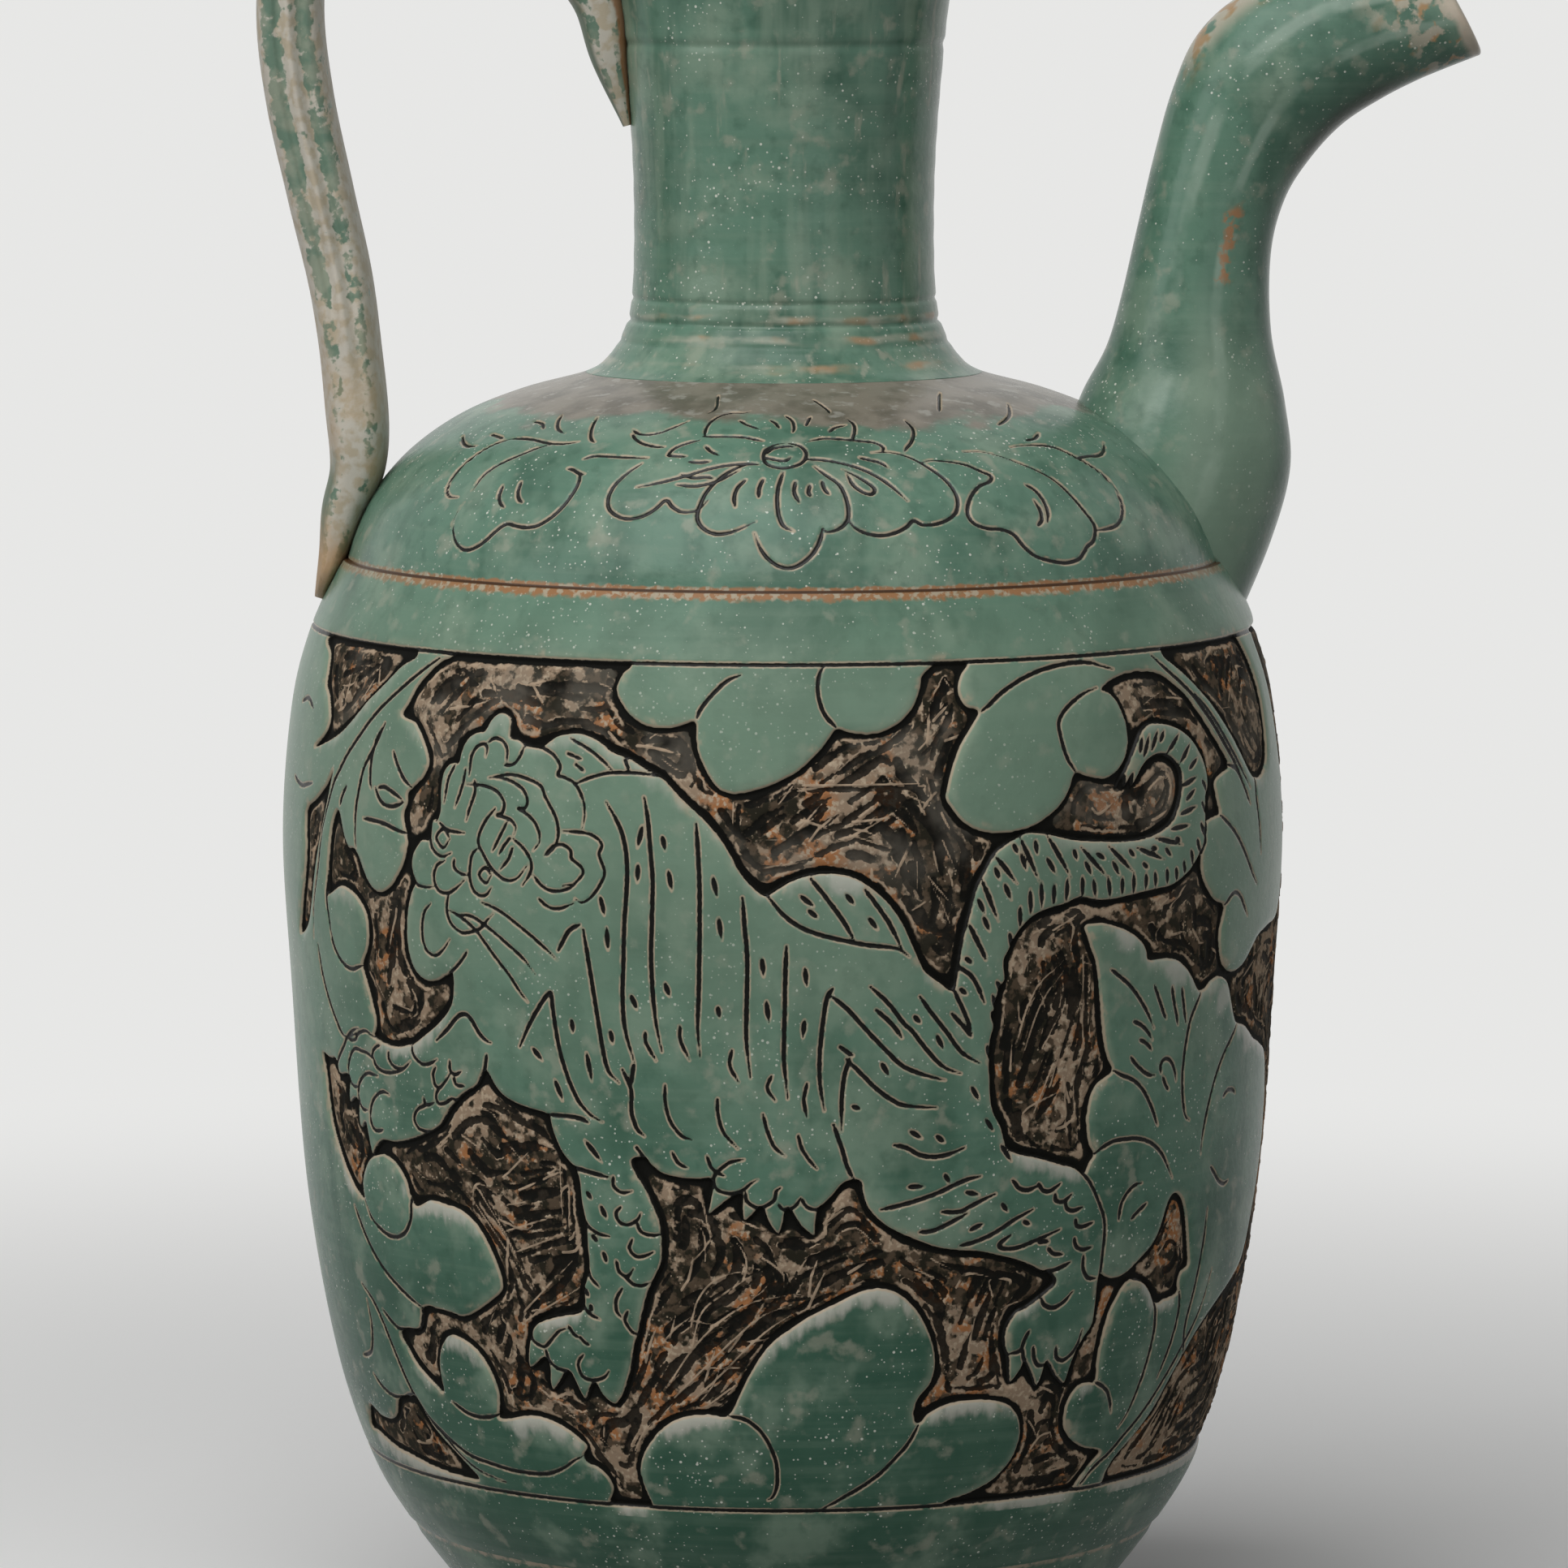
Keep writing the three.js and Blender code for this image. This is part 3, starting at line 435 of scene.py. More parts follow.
# %% Lines of the tiger's head
HEAD_LINES = (
    (-57.5,162.3, -58.6,160, -59.2,156.2), (-55,162, -55.6,158.8, -56.8,155.6),
    (-53,160.2, -52.8,158.3, -53.6,156, -54.3,153.6), (-50.7,166.6, -49.5,167.3, -48,166.9, -47,165.6, -46.9,163.2),
    (-54.2,161, -54,164, -53,165.7, -51.6,166.2, -50.9,165.5, -51.1,164.2),
    (-47.3,163, -45.6,163.3, -44.4,164.7, -43.8,166.4),
    (-43.5,166.4, -40.5,166.2, -38.3,165.2, -36.9,163.4, -37.3,162, -36,161.6, -34.2,160.7, -32.8,158.5, -32.3,156,
     -32.6,153.6), (-34,160.8, -31,162, -28,162.7, -23.3,162.8, -19.3,162.3),
    (-50.2,160.8, -46,161.6, -42.5,161, -40.2,160, -39.4,158.4, -37.4,155.2, -36.8,152.6, -37.4,150.4, -38.6,149),
    (-49.5,161, -46,160.6, -43.5,159.3, -42.6,157.6, -43,156.4, -44.2,156.2, -42,155, -40.4,153, -40.2,151,
     -41.2,149.6),
    (-54.5,159.5, -51,159.5, -48.4,158.7, -47,157, -47.2,155.4, -48.2,154.9, -45.8,154.4, -44.6,153.2, -44.9,151.8),
    (-48.6,156, -50.6,153.6, -51.8,150.6, -50.6,148.2, -48.8,146, -46.4,144.5, -44.2,144.9, -42.2,147.3),
    (-45,151.3, -42.8,149.6, -41.6,147.6, -41.8,145.8, -43.2,143.8), (-46.3,153.9, -47.6,151.4, -48.9,149),
    (-45.6,151.4, -46.8,149.9, -47.6,148.6), (-45.1,149.8, -45.8,148, -47.3,146.2),
    (-36,153, -33.6,153, -31,152.6, -29.3,151.2, -29.7,149.4, -28.8,147, -29.2,145.2, -30.8,142.8, -32.6,141.6,
     -33.8,142.2),
    (-39.2,148.9, -37.8,150.4, -36,150.8, -34.6,149.9, -34.4,148.6, -32.8,147.4, -32.5,146.2, -34,144.6, -36,144.2),
    (-41.2,145.6, -39.6,143.9, -37.6,143.2, -35.2,143.6, -33.8,144.4),
    (-40.2,141.8, -38.6,140.6, -36.6,140.4, -34,141.4),
    (-52,149.2, -53,148, -53.4,145, -52.8,142.6, -51.4,141.6, -50,141.9, -49,143.2),
    (-62.2,152.9, -62,150, -61,148.2, -59.2,147.4, -57.2,148.2), (-60,152.8, -58,151.8, -54.6,151.6),
    (-56.6,147.2, -56.6,145.8, -55.2,144.9, -53.6,144.8),
    (-64.4,149.8, -66.2,147.5, -66.5,144.6, -65.2,142.6, -63.2,142.1, -60.8,142.3),
    (-58.6,146.8, -60.4,145.8, -61,143.6, -60,141.8, -58,141.5, -56,142.6, -54.4,144),
    (-57.8,141.4, -58.2,140, -58.3,138.3, -57.3,136.3, -55.3,135.2, -53.3,135.5, -51.3,136.3, -50,137.7,
     -48.8,138.8), (-61.8,139.5, -63.3,138, -64,135.3, -63.8,132.7, -62.7,131.2, -61,131, -59.3,132.2, -57.8,134),
    (-58.7,128, -56.7,129.5, -55,131.3, -54.3,132.3), (-51,140.5, -47.3,139.2, -42.7,136.3, -40,134.3, -37.2,132),
    (-55.3,138.2, -53,138, -50,136.5, -46,133.8, -43.3,131.7, -41.3,129.3),
    (-57.8,138.7, -55.3,137.7, -52.3,135.7, -49.3,132.3, -46.3,129, -44.3,126.3, -42.8,124.7),
    (-35.5,168, -32,166.3, -29.7,164.7, -27.7,163), (-35.7,165.5, -33.3,164.7), (-34.2,163.8, -32.7,162.8),
    (-25.8,164.8, -25,163.2),
)
IRISES = ((-50.2, 145, 1.3), (-59, 150.4, 1.6))  # s, z, radius of a ring cut round each pupil

# %% Lines of the tiger's body
STRIPES = (
    (-36.9,133.6, -35,136.8, -33,138),
    (-32.5,137.2, -31.7,132, -31,127, -30.3,122, -29.5,116.7, -28.7,114, -27,112.3),
    (-28.7,158, -26.3,154, -25.2,150, -25,145.3, -25.5,138.7, -25.8,132, -26.1,126, -25.8,121.3, -25,118,
     -24.3,115.7),
    (-22.4,159, -21.7,155.3, -21.2,150.3, -20.8,145.3, -21,138.7, -21.2,133.3, -21,126.7, -20.5,121.7, -19.7,117.7),
    (-13.9,155, -13.6,151, -13.3,145.3, -13.3,138.7, -13.4,133.3, -13.6,126.7, -13.8,121.7, -13.5,117),
    (-6.5,143.2, -6.2,138.7, -5.8,133.3, -5.9,126.7, -6,120, -5.4,113.7),
    (0.4,135.3, 0.2,130, 0.1,123.3, 0,116.7, 0.6,110.3),
    (7.7,128.3, 6.8,126.7, 6.2,122.7, 5.7,117.3, 5.8,112.7, 6.5,108.3),
    (7.3,127.2, 10,125, 13.3,121.3, 16.7,117.7, 19.3,115.3, 23,113.7, 26.3,112.8),
    (10.5,116.7, 9.7,114, 9.3,110, 9.3,105), (10,116.7, 12.7,114, 15,111.7, 17.7,109.7, 20,108.8, 25,108.3),
    (9,118.7, 11,117.3), (8,106, 9.3,102.3, 10.3,99, 11.5,96.7),
    (13.7,128.5, 16.7,125.7, 19.3,122.3, 20.7,121, 23.3,117.7, 26,115, 29,113.7),
    (21.8,126.7, 24,123.7, 26.7,120.3, 29,117.3, 32.3,115.2), (14.7,124.7, 17.3,122.3, 19,120),
    (-44.7,117.2, -42.7,121, -41,123.7, -38.7,126.5, -38.3,124, -37.7,119.3, -37,116, -35.7,112, -34,108.7,
     -32,106.7, -30,105.7), (-40,106.3, -34.7,106.2, -32.5,105.5), (-36,98, -29.3,96.6),
    (-62,116.8, -59.3,119, -57,121.2, -55.3,121.7, -54,120.7, -52.7,118.8, -51.3,117.7, -50.3,117.4),
    (-51.8,113, -51.3,115.3), (-2.7,143.5, 0,140.3, 2.7,138.3, 6,137, 10,136, 13.3,135.3, 17.7,134.7, 20,133.3),
    (4.2,146.2, 6.7,143, 9.3,139.3, 11,136.3), (12.8,144.3, 14.7,141.7, 16.7,138.7, 18.7,134.7),
    (27.2,123.7, 29.7,121, 30.7,119.7), (27.5,127.5, 29.7,123, 30.7,120.5), (28.2,131.3, 30.7,129.3, 32.8,125.2),
    (31,136, 32.8,132.3), (16,91.8, 20,92.6, 25,94, 30,96, 33,96.6), (26.4,91, 29.5,90.9, 32,92, 35.8,93.5),
    (22.6,87.8, 25,88, 28,89.2, 31,90.6), (29.8,85.2, 32.5,85.7, 36,87, 39.5,88.9, 43,90.4),
    (39,86.4, 36.9,85, 37.8,84.2, 40.5,84.2, 44,85.2, 48.6,86.6), (38.8,95.6, 40.2,94.1, 42,93.7, 44,94.4),
    (43.8,94.6, 44.8,93.4, 46.2,93.2, 48.2,94.3), (47.2,92.6, 47.4,91.5, 49,91.2, 50.6,92.3),
    (49.3,91.2, 49.8,89.9, 51.2,89.5, 53,89.9), (51.7,88, 52,86.9, 53.4,86.6, 55.4,87.1),
    (51.7,84.8, 52.2,83.4, 53.8,82.7, 55.6,83), (54,81.6, 54.2,79.4, 55.4,77.8, 57.4,77.5),
    (46.4,83.6, 47.6,82.6, 49.4,82.3), (44.6,84.8, 46.4,84.7), (46,79.6, 48.6,79.9, 51.2,80.8),
    (46,75.2, 46.6,74, 48.4,73.4, 50.4,74, 52.4,75.8), (44,69.8, 43.2,68.2, 42.6,66.6, 40.6,66.2),
    (43.1,66.8, 43.4,65.4, 44,64.6), (45.2,67, 45.6,65.2, 46.6,63.8, 48.4,63.6),
    (50,66.6, 50.4,64.8, 51.8,64.1, 53.6,64.9, 54.9,66.6, 55.4,69),
    (18,102.4, 20,101.9, 22.4,100.6, 25,100.2, 27.6,100.6, 30,101.5), (-24.5,115.2, -25,112),
    (-26.4,114.5, -25,111.3, -25,107.7, -24.2,105, -22.9,103.7),
)
PAW_LINES = (
    (-6.5,100.3, -8.7,99.8, -10.7,98.3, -11.5,97, -11,95.3, -8.7,94.6, -6.7,95.2, -5.5,96.3, -4.3,97),
    (-6.3,95, -6,93.3, -4,92.3, -1.7,93.5, -1.3,95, -0.5,95.7), (-1,93, 0,92, 1.7,92.5, 2.7,94),
    (2.8,94, 3.7,92.5, 5.3,92, 7,92.8, 9,95, 10.7,96.7),
    (-68.3,115.3, -67.7,113.7, -65.7,112.5, -63.7,112.8, -62,113.7),
    (-62.5,112.3, -63.2,111, -62.8,109.3, -61.7,109, -60.3,110.3, -59.2,111.5),
    (-59.2,113.7, -59.2,112, -58,111.5, -56.7,112.2), (-58.5,111, -58,109.8, -56.2,109.7),
    (-61.7,109, -62.7,107.7, -62.3,106.3, -60.7,106.5, -59.3,107.3, -58,107.2),
    (-65.7,106.8, -65.3,105.8, -63.7,106),
    (-63.3,106.3, -67,105, -68.3,103.3, -67.7,101.8, -66.3,101.3, -64.3,101.5),
    (-91.5,109.9, -90.3,111.3, -88.5,113, -87.2,114.6, -85,116, -83,116.6),
    (-87.3,114.6, -85.5,114.3, -84,114.7, -83.8,115.2, -82.5,116, -80.7,116.4, -79.3,116),
    (-87.5,108.2, -87.2,110, -86,112, -84.5,113, -82.7,112.9, -80.8,112.7, -79.6,112.3, -78.2,111.5),
    (-87.5,108.2, -86.8,107, -85.5,106.5, -84.4,106.7),
    (-84.4,105.2, -83.9,107, -82.5,108.5, -80.8,109.3, -79,109.3, -77.6,109.2),
    (-84.4,105.2, -84,103.8, -82.9,103, -81.6,103),
    (-80.8,102, -80.4,103.6, -79.2,105.3, -77.5,106.4, -76,106.7, -74.6,106.4),
    (-80.8,102, -80.4,100.6, -79.4,99.9, -78,100, -77,100.3), (-79.1,112.5, -78.7,113.4, -77.6,114.2, -76.8,114.3),
    (-78.9,112.3, -78.3,111, -76.5,110.2, -74.5,110.1, -72,110.6, -70,111.5, -68.5,112.7),
    (-74.4,113.6, -74.3,112.5, -73.4,111.5, -71.8,111.1, -70,111.4),
    (-45.8,69.4, -45.6,68.2, -44.2,67.4, -43,67.3, -41.6,68.6, -40,70.1, -38.6,70.7),
    (-38,71.1, -37.2,69.9, -36.4,69.4), (-36,69.4, -35.2,68.6, -34.4,68.2),
    (-43,66.8, -42.6,65, -41.4,63.9, -40,63.5, -39,63.6),
    (-35.6,66.5, -36.8,65, -36.4,63, -35.2,62.3, -33.4,62.3, -31.8,63, -31,64),
)
HOOKS = (
    (-22.4,120.8, -22.3,119, -20.7,116.2), (-16.7,122, -16.6,119.5, -15.2,116.5),
    (-8.3,118.2, -8.7,115.7, -7.3,113), (-2,114, -2.7,112, -1.4,110), (3.7,112.8, 3.2,110, 3.7,107.3),
    (-19.3,112.3, -19.3,109.3, -18.5,106.3, -16.7,104, -15,103.4), (-10.7,110.2, -10.7,108, -9.8,104.7, -7.5,102.1),
    (-3.4,107.8, -2.7,105, -1.5,102.3, 0.2,100.9), (2.3,104.3, 2.8,102.3, 4,100.3, 5.3,98.8),
    (-24.3,101.8, -22,98.8), (-18.3,101.2, -17.3,99.5, -15.8,98.7), (-12.5,100.7, -11.7,98.7, -9.7,97.5),
    (-28.4,96.8, -28.4,95.2, -27,94.2, -25.2,94.5),
    (-27.2,91.8, -28.1,90.8, -27.6,89.3, -26,88.9, -24.4,89.8, -23.8,91),
    (-24.6,89.4, -23.8,87.8, -22,87.3, -20.4,87.5), (-25.4,86.6, -26,85, -25,83.7, -23.4,83.8, -21.8,84.6),
    (-28.4,82.8, -28,81, -26.6,80.2, -25.4,81.6), (-27.2,80.3, -25.6,79, -24,78.8, -22.8,79.3),
    (-27.6,78.2, -28.8,76.2, -28.8,74.2, -28,73.2), (-26.8,74.4, -27.4,72.8, -26.4,71, -25.2,70.2),
    (-34.2,89.5, -33,88, -31,87, -29.4,86.8), (-34,81.8, -33.2,79.6, -31.8,78.2), (-35.2,75.2, -34,73.6, -32,72.7),
)

# %% [markdown]
# The coat between the stripes is filled with short dabs of the tool. They are fat in the middle and pointed at
# both ends, so they are cut with their own width curve.

# %% Dabs of the coat and tail
DABS = (
    (-29.5,142.7, -28.8,139.7), (-28.5,137.7, -28.3,134), (-22.6,154.3, -23.3,150.8), (-23.2,148.2, -23.3,145.2),
    (-19.3,152.8, -18.8,150.5), (-18.3,147.3, -17.7,144), (-11.2,146.5, -10.5,143.2), (-10.3,139.8, -9.8,136.2),
    (-24.7,126.8, -23.7,124.5), (-19,129, -18.3,126.8), (-10.5,125.3, -10.3,123.5), (-3.5,133.3, -3.2,130.3),
    (-2.8,126.3, -2.4,122.8), (3.3,131.7, 3.6,128.8), (3.3,123.2, 3,120.3), (-28.3,120.8, -27.9,118.7),
    (-42.3,117.2, -40.5,115.2), (-35,122.3, -34.8,120.2), (-32.5,117, -31.7,112.3), (-38.3,112.2, -37,108.8),
    (-33.2,102.5, -30.3,99), (20.9,123.5, 22,122.3), (24.7,120.3, 26,117.8), (15.7,116, 17,113.8),
    (11,109, 12.3,108.5), (20.5,104.7, 22.7,103.3), (25,103.7, 26.5,102.5), (2.5,143.5, 4.7,141.7),
    (3.8,141.2, 5.3,139.8), (9.7,143.7, 11,142), (13.3,139.8, 14.8,137.8), (29.3,132.7, 30.5,131.7),
    (28.5,127.7, 29.7,126.7), (30.9,111.5, 32.3,109.2), (33.6,106, 35,104), (36.5,101.5, 38.5,98.7),
    (20.4,95.4, 23.2,95.4), (30.4,94.1, 32.8,93.5), (37,91.8, 38.2,90.4), (31.4,87.7, 33.8,88.7),
    (41.2,88.5, 42.6,87.9), (26.6,97.2, 27.6,95.8), (-33.2,94, -32.4,92.8), (-30.8,91.8, -29.8,89.7),
    (-32.6,86.8, -31.6,85.7), (-30.7,84.1, -30.1,82.4), (-34.6,77.7, -33.8,76.4), (-33.6,75, -33.4,74),
    (34.2,147.2, 35,145.2), (35.8,144.5, 37,141.8), (31.3,142.2, 32.4,139.8), (32.2,139.3, 33.3,136.9),
    (37.5,150.8, 38.2,149.3), (38.8,149.2, 39.7,146.5), (41.4,151.2, 41.7,149), (43.4,148.3, 45.2,145.5),
    (48.6,149.3, 49.2,147.6), (50.8,147.2, 52,145), (53,148.4, 54.8,147.3), (56.4,146.8, 57.8,144.5),
    (60,148.5, 61.2,147.2), (65,148.3, 66.4,148.2), (63,146, 64.2,145.1), (68.4,148, 69.8,146.6),
    (71,149.4, 72.2,149), (34.2,149.2, 38,144.4), (31.8,145.6, 34.8,138.4), (38.6,152, 42,144.6),
    (43.6,152, 48,144.8), (50,149.6, 55.2,144.4), (55.6,149.4, 61,144.6), (61.8,148.6, 68,146.2),
    (66.2,149.8, 72.8,148.2), (29.6,138.6, 32.8,132.2), (42.4,144.4, 42.6,140.2), (44.8,144, 44.8,140.4),
    (47.3,144.6, 47.2,140.6), (50.2,144.8, 50.4,141.2), (52.4,144.2, 53,141.2), (55.4,144.4, 56,140.8),
    (58.4,144, 58.6,141), (60.9,144.4, 61.1,141), (63.7,144.2, 63.9,141.4), (65.8,144.4, 66.2,141.6),
    (68.7,144.6, 69,142), (71,144.6, 71.4,142.4), (73,145.6, 73.6,143.2), (75,147.2, 75.8,144.4),
    (76.8,148.8, 77.6,146.4), (78,151.4, 79,149), (78.6,154.8, 80,152.6), (79,158.4, 80.6,156.2),
    (70,151, 74.8,151.3), (72.4,153.2, 77,154.2), (74.2,155.4, 76.8,157), (73.6,157.8, 77.6,159),
    (75.6,160.4, 78.2,162), (73.4,161.6, 76.6,164.6), (70.4,163.6, 73.8,166.4), (68.6,165.4, 70,167.2),
    (66.4,164.2, 68.4,167.4), (64.4,163.2, 66.2,166.8), (63.6,164, 64.6,166.6), (40.4,143.4, 40.6,138.8),
    (38.6,140.6, 38.8,137), (36.8,136.4, 37.6,133.6), (34.8,128.6, 36.4,126), (34.2,126.4, 35.2,123.4),
    (34.2,123.6, 35,121.2), (33.4,118.2, 34.6,115),
)

# %% [markdown]
# Leaves have stalks and a few veins, petals their folded rims. Lines of the shared edges between two petals
# belong here too: both stand proud, and only a cut parts them.

# %% Lines of leaves and petals
FOLIAGE_LINES = (
    (-64.5,179.3, -68,177, -72,174, -76,171, -79.5,168, -82.5,165, -85.5,162, -87.5,159.5, -89.5,157, -91,154,
     -92.5,151, -93.5,148.5, -95,142, -97.5,136, -98.5,130),
    (-75,168, -77,164.5, -78.7,162, -80,160, -80.8,157, -81.5,153.5, -81.5,150, -81.2,147),
    (-75.8,167, -77.2,164.5, -77.9,161.5, -77.8,158.5, -77.2,157),
    (-76.2,157.3, -75,155.7, -73.5,154.8, -71.5,154.6, -69.8,155, -68.7,155.6),
    (-75.2,157.4, -73.5,157.6, -71,156.8, -69,155.9), (-79,152, -76,151.9, -73,151.6, -70,150.9, -67.3,150.4),
    (-72,163.5, -70.8,161.6, -69,159.5, -67,158), (-85,156.8, -86.2,155, -86.8,153.5),
    (-109.5,156, -107,155.3, -104,155, -101,155.5, -98.5,156), (-110,168.6, -106,169.4, -102,168),
    (-90.8,132, -90,129.8, -88.3,127.9, -86.3,126.8, -84,126.4, -82,126.9, -80.8,127.3),
    (-96.8,129, -96,125.5, -94.8,122.5, -93,119.5, -91,117, -89,115, -87,114.5),
    (-88.8,86, -87.3,83.5, -85.5,80.8, -83,78, -80,75.6, -76,73.3, -72.5,71.6, -71,71),
    (-83.5,69, -81,67.3, -78.7,66.3, -76,66.5, -73,66.8, -72,68, -71,71),
    (-95.5,59.5, -93,60, -91,61, -89.5,63.5, -88.8,66.5, -89,70),
    (-92.5,56.7, -90,55, -87,54, -84.5,53.7, -82,54, -80,54.8, -78,55.2),
    (-90,72.5, -86.5,70, -84,66.5, -82,62.5, -80,58.5, -78,55, -75,51.5, -71,48.5, -67.5,45.5, -63,43.5, -57,42.3),
    (-78,55, -76.5,53, -74.5,51.3, -72,49.8, -69,48, -65,46.2, -60,45.4, -55,44.8, -50,44.7, -46,45.1, -42.5,46.4,
     -39.8,48, -38,48.8),
    (-70.9,89.8, -70.8,87, -71.6,85, -73.2,83.3, -75.5,82.4, -78,82.4, -80.5,83.2, -83,84.7, -85,88),
    (-66.5,55.3, -63,53.8, -60,53.5, -57.5,53.8, -55.2,54.4), (-91.4,142, -91.8,137.5, -91.2,134, -90.8,132),
    (-14.2,171.8, -13.5,173.3, -12.3,174.9, -10.8,176.5, -9.2,177.8, -7.2,178.6),
    (8.4,170.4, 7,171.8, 6.1,173.5, 5.6,175.5, 5.6,177.5, 6,179, 6.7,180),
    (33,172.4, 34.6,173.4, 36.3,174.7, 38.2,175.8, 40.5,176.9, 43,177.8, 45.8,178.5, 49,179, 52.5,179.2, 55.5,179,
     58,178.3, 60.3,177.7),
    (49.7,161.8, 48.4,163.6, 47.6,165.6, 47.1,168, 47,169.8, 47.7,171, 49,172.2, 51,173.4, 53.3,174.4, 55.8,175),
    (70.2,179.3, 73,177.2, 76,175, 79,172.6, 81.5,170, 84,167.4, 86.5,164.6, 89,161.8, 91.5,158.8, 93.6,155.8,
     94.6,153.6), (80,172.4, 83,169.7, 86,166.6, 88.5,163.8, 91,161, 93.5,158.2, 96,155.4),
    (88.5,160, 91,158.8, 93.5,155.8, 95.5,152.8), (99,157.2, 98.5,154, 99.5,149, 100,144),
    (84.2,152, 87,150.2, 89.5,148.3, 92,145.8, 94.5,143, 96.5,140.8, 98.5,139),
    (86,137, 88,138.4, 89.6,138.6, 91.3,137.8, 93,136, 94.6,134.2),
    (58.3,112.1, 60.4,111.1, 62.5,110.3, 64.6,108.9, 66.3,107, 67.8,104.8, 69,102.6, 69.4,101.9),
    (55,98.5, 56.8,99.6, 59,100.3, 61.8,100.4, 64.6,100.2, 67.3,99.4, 69.5,98.2, 71.3,96.6, 72.8,94.6, 74.2,92.6),
    (79.8,123, 78.2,120.8, 77,118.8, 76.2,116, 75.7,112.8, 75.5,109.6, 75.8,106.6, 76.4,104, 77.2,102.4,
     78.2,101.8), (56.7,129, 58.5,127.8, 61,126, 63.4,123.6, 65.5,121, 67.2,118.3),
    (62.3,119.9, 64,119.2, 65.6,118, 67,116.4), (64,116.7, 65.5,116, 66.9,114.8),
    (62,114, 63.2,112.8, 65,111.4, 66.6,110.6, 68,110.4), (66.8,125.5, 68.2,123, 69.5,120.6, 70.2,119.6),
    (71.3,124.8, 72,122.4, 73,119.8, 73.4,118.3), (74,124.2, 74.8,121.4, 75.6,118.4),
    (69.6,110.6, 69.4,111.8, 70,112.7, 71.2,112.8, 72.5,111.8, 73.4,110.2, 73.7,108.8),
    (70.2,109.8, 71,108.4, 71.8,107.6),
    (93.4,116, 91,113.8, 88.6,111.6, 86.5,108.8, 85,105.8, 83.7,102.4, 82.8,98.8, 82.5,95.5),
    (89.4,104.4, 91,105.2, 93,105, 94.3,104.3), (86.5,92.8, 88,91.6, 90,90, 92.3,89.2, 94,89.6),
    (61.3,87, 61.6,89.4, 62.8,91.2, 64.6,92.4, 66.2,92.6), (64.4,86.8, 65.8,87.8, 67.8,89),
    (60.4,59.4, 62.4,58.5, 64,57.2, 65.2,55.2, 65.8,53.6),
    (66,76.4, 69.5,75.6, 71.8,73.8, 73.4,71.2, 74,68.6, 74.2,65.8, 73.8,62.5, 73,59, 71.8,55.5, 70.4,52.5,
     68.8,50.6), (80.6,72.4, 81.2,69, 80.6,65, 79.4,61.5, 77.8,58),
    (62.4,41.4, 65,44.2, 68,46.2, 71,48.8, 74,51.2, 77,54, 80,57.2, 83,60.6, 85.6,63.6, 88,66.5, 90,70, 91.5,75),
    (86,60.6, 84.4,66, 85.6,72, 86.6,80, 86.5,86),
    (24.2,55, 22.6,52, 20.5,49.6, 18.2,47.3, 15.5,45.3, 12.5,43.6, 9.5,42, 7,40.8),
    (-10,57.1, -7.5,56.8, -5.8,56, -4,54.4, -2.5,52, -1.5,49.5, -1.2,47, -1.4,44.6, -2.2,43, -3,42.6),
)

# %% [markdown]
# ### The back of the pot
#
# Nobody sees the back in the photograph, but the band runs on. A full peony stands there between arching
# leaves, in the same way of drawing: a blossom is a circle whose radius swells into lobes, a leaf is a spine
# with a width that rises and falls along it.

# %% Peony and leaves for the back
BLOSSOM = {"s": 0, "z": 112, "radius": 33, "lobes": 9}
LEAVES = (  # base s, z, tip s, z, half-width, bend of the spine
    (34, 118, 84, 150, 13, 9), (36, 104, 92, 112, 14, -8), (32, 92, 82, 62, 12, -7), (-34, 118, -84, 150, 13, -9),
    (-36, 104, -92, 112, 14, 8), (-32, 92, -82, 62, 12, 7), (86, 172, 132, 148, 13, 8), (-86, 172, -118, 150, 11, -7),
    (98, 92, 134, 66, 12, 8), (-98, 92, -122, 70, 9, -6), (14, 72, 44, 46, 8, 4), (-14, 72, -44, 46, 8, -4),
)
HANGING = ((-62, 26), (-20, 22), (24, 24), (64, 22), (104, 24))  # s of the middle, half-width, petals at the top
STANDING = ((-96, 20), (-58, 20), (0, 18), (58, 20), (100, 22))  # the same along the bottom


def blossom(s, z, radius, lobes):
    """Angle by angle, the radius is a tenth less than full in the notches between the lobes."""
    angle = np.linspace(0, 2 * np.pi, lobes * 8, endpoint=False)
    reach = radius * (0.84 + 0.16 * np.abs(np.sin(angle * lobes / 2)) ** 0.6)
    return np.stack([s + reach * np.cos(angle), z + reach * np.sin(angle)], 1)


def leaf(s0, z0, s1, z1, width, bend):
    """The spine goes from base to tip and swings aside by a sine; the half-width is a sine pulled to the base.
    Returns the closed outline and the cut lines: the spine and its side veins."""
    t = np.linspace(0, 1, 13)[:, None]
    base, way = np.array([s0, z0], float), np.array([s1 - s0, z1 - z0], float)
    aside = np.array([-way[1], way[0]]) / np.linalg.norm(way)
    spine = base + way * t + aside * bend * np.sin(np.pi * t)
    wide = width * np.sin(np.pi * t**0.75) ** 0.8 * (1 + 0.08 * np.sin(9 * t))
    outline = np.vstack([spine + aside * wide, (spine - aside * wide)[-2:0:-1]])
    veins = [spine[:-1]]
    for k in (3, 5, 7, 9):
        for side in (-1, 1):
            veins.append(np.stack([spine[k], (spine[k] + spine[k + 2]) / 2 + side * aside * wide[k] * 0.4,
                                   spine[k + 2] + side * aside * wide[k] * 0.62]))
    return outline, veins


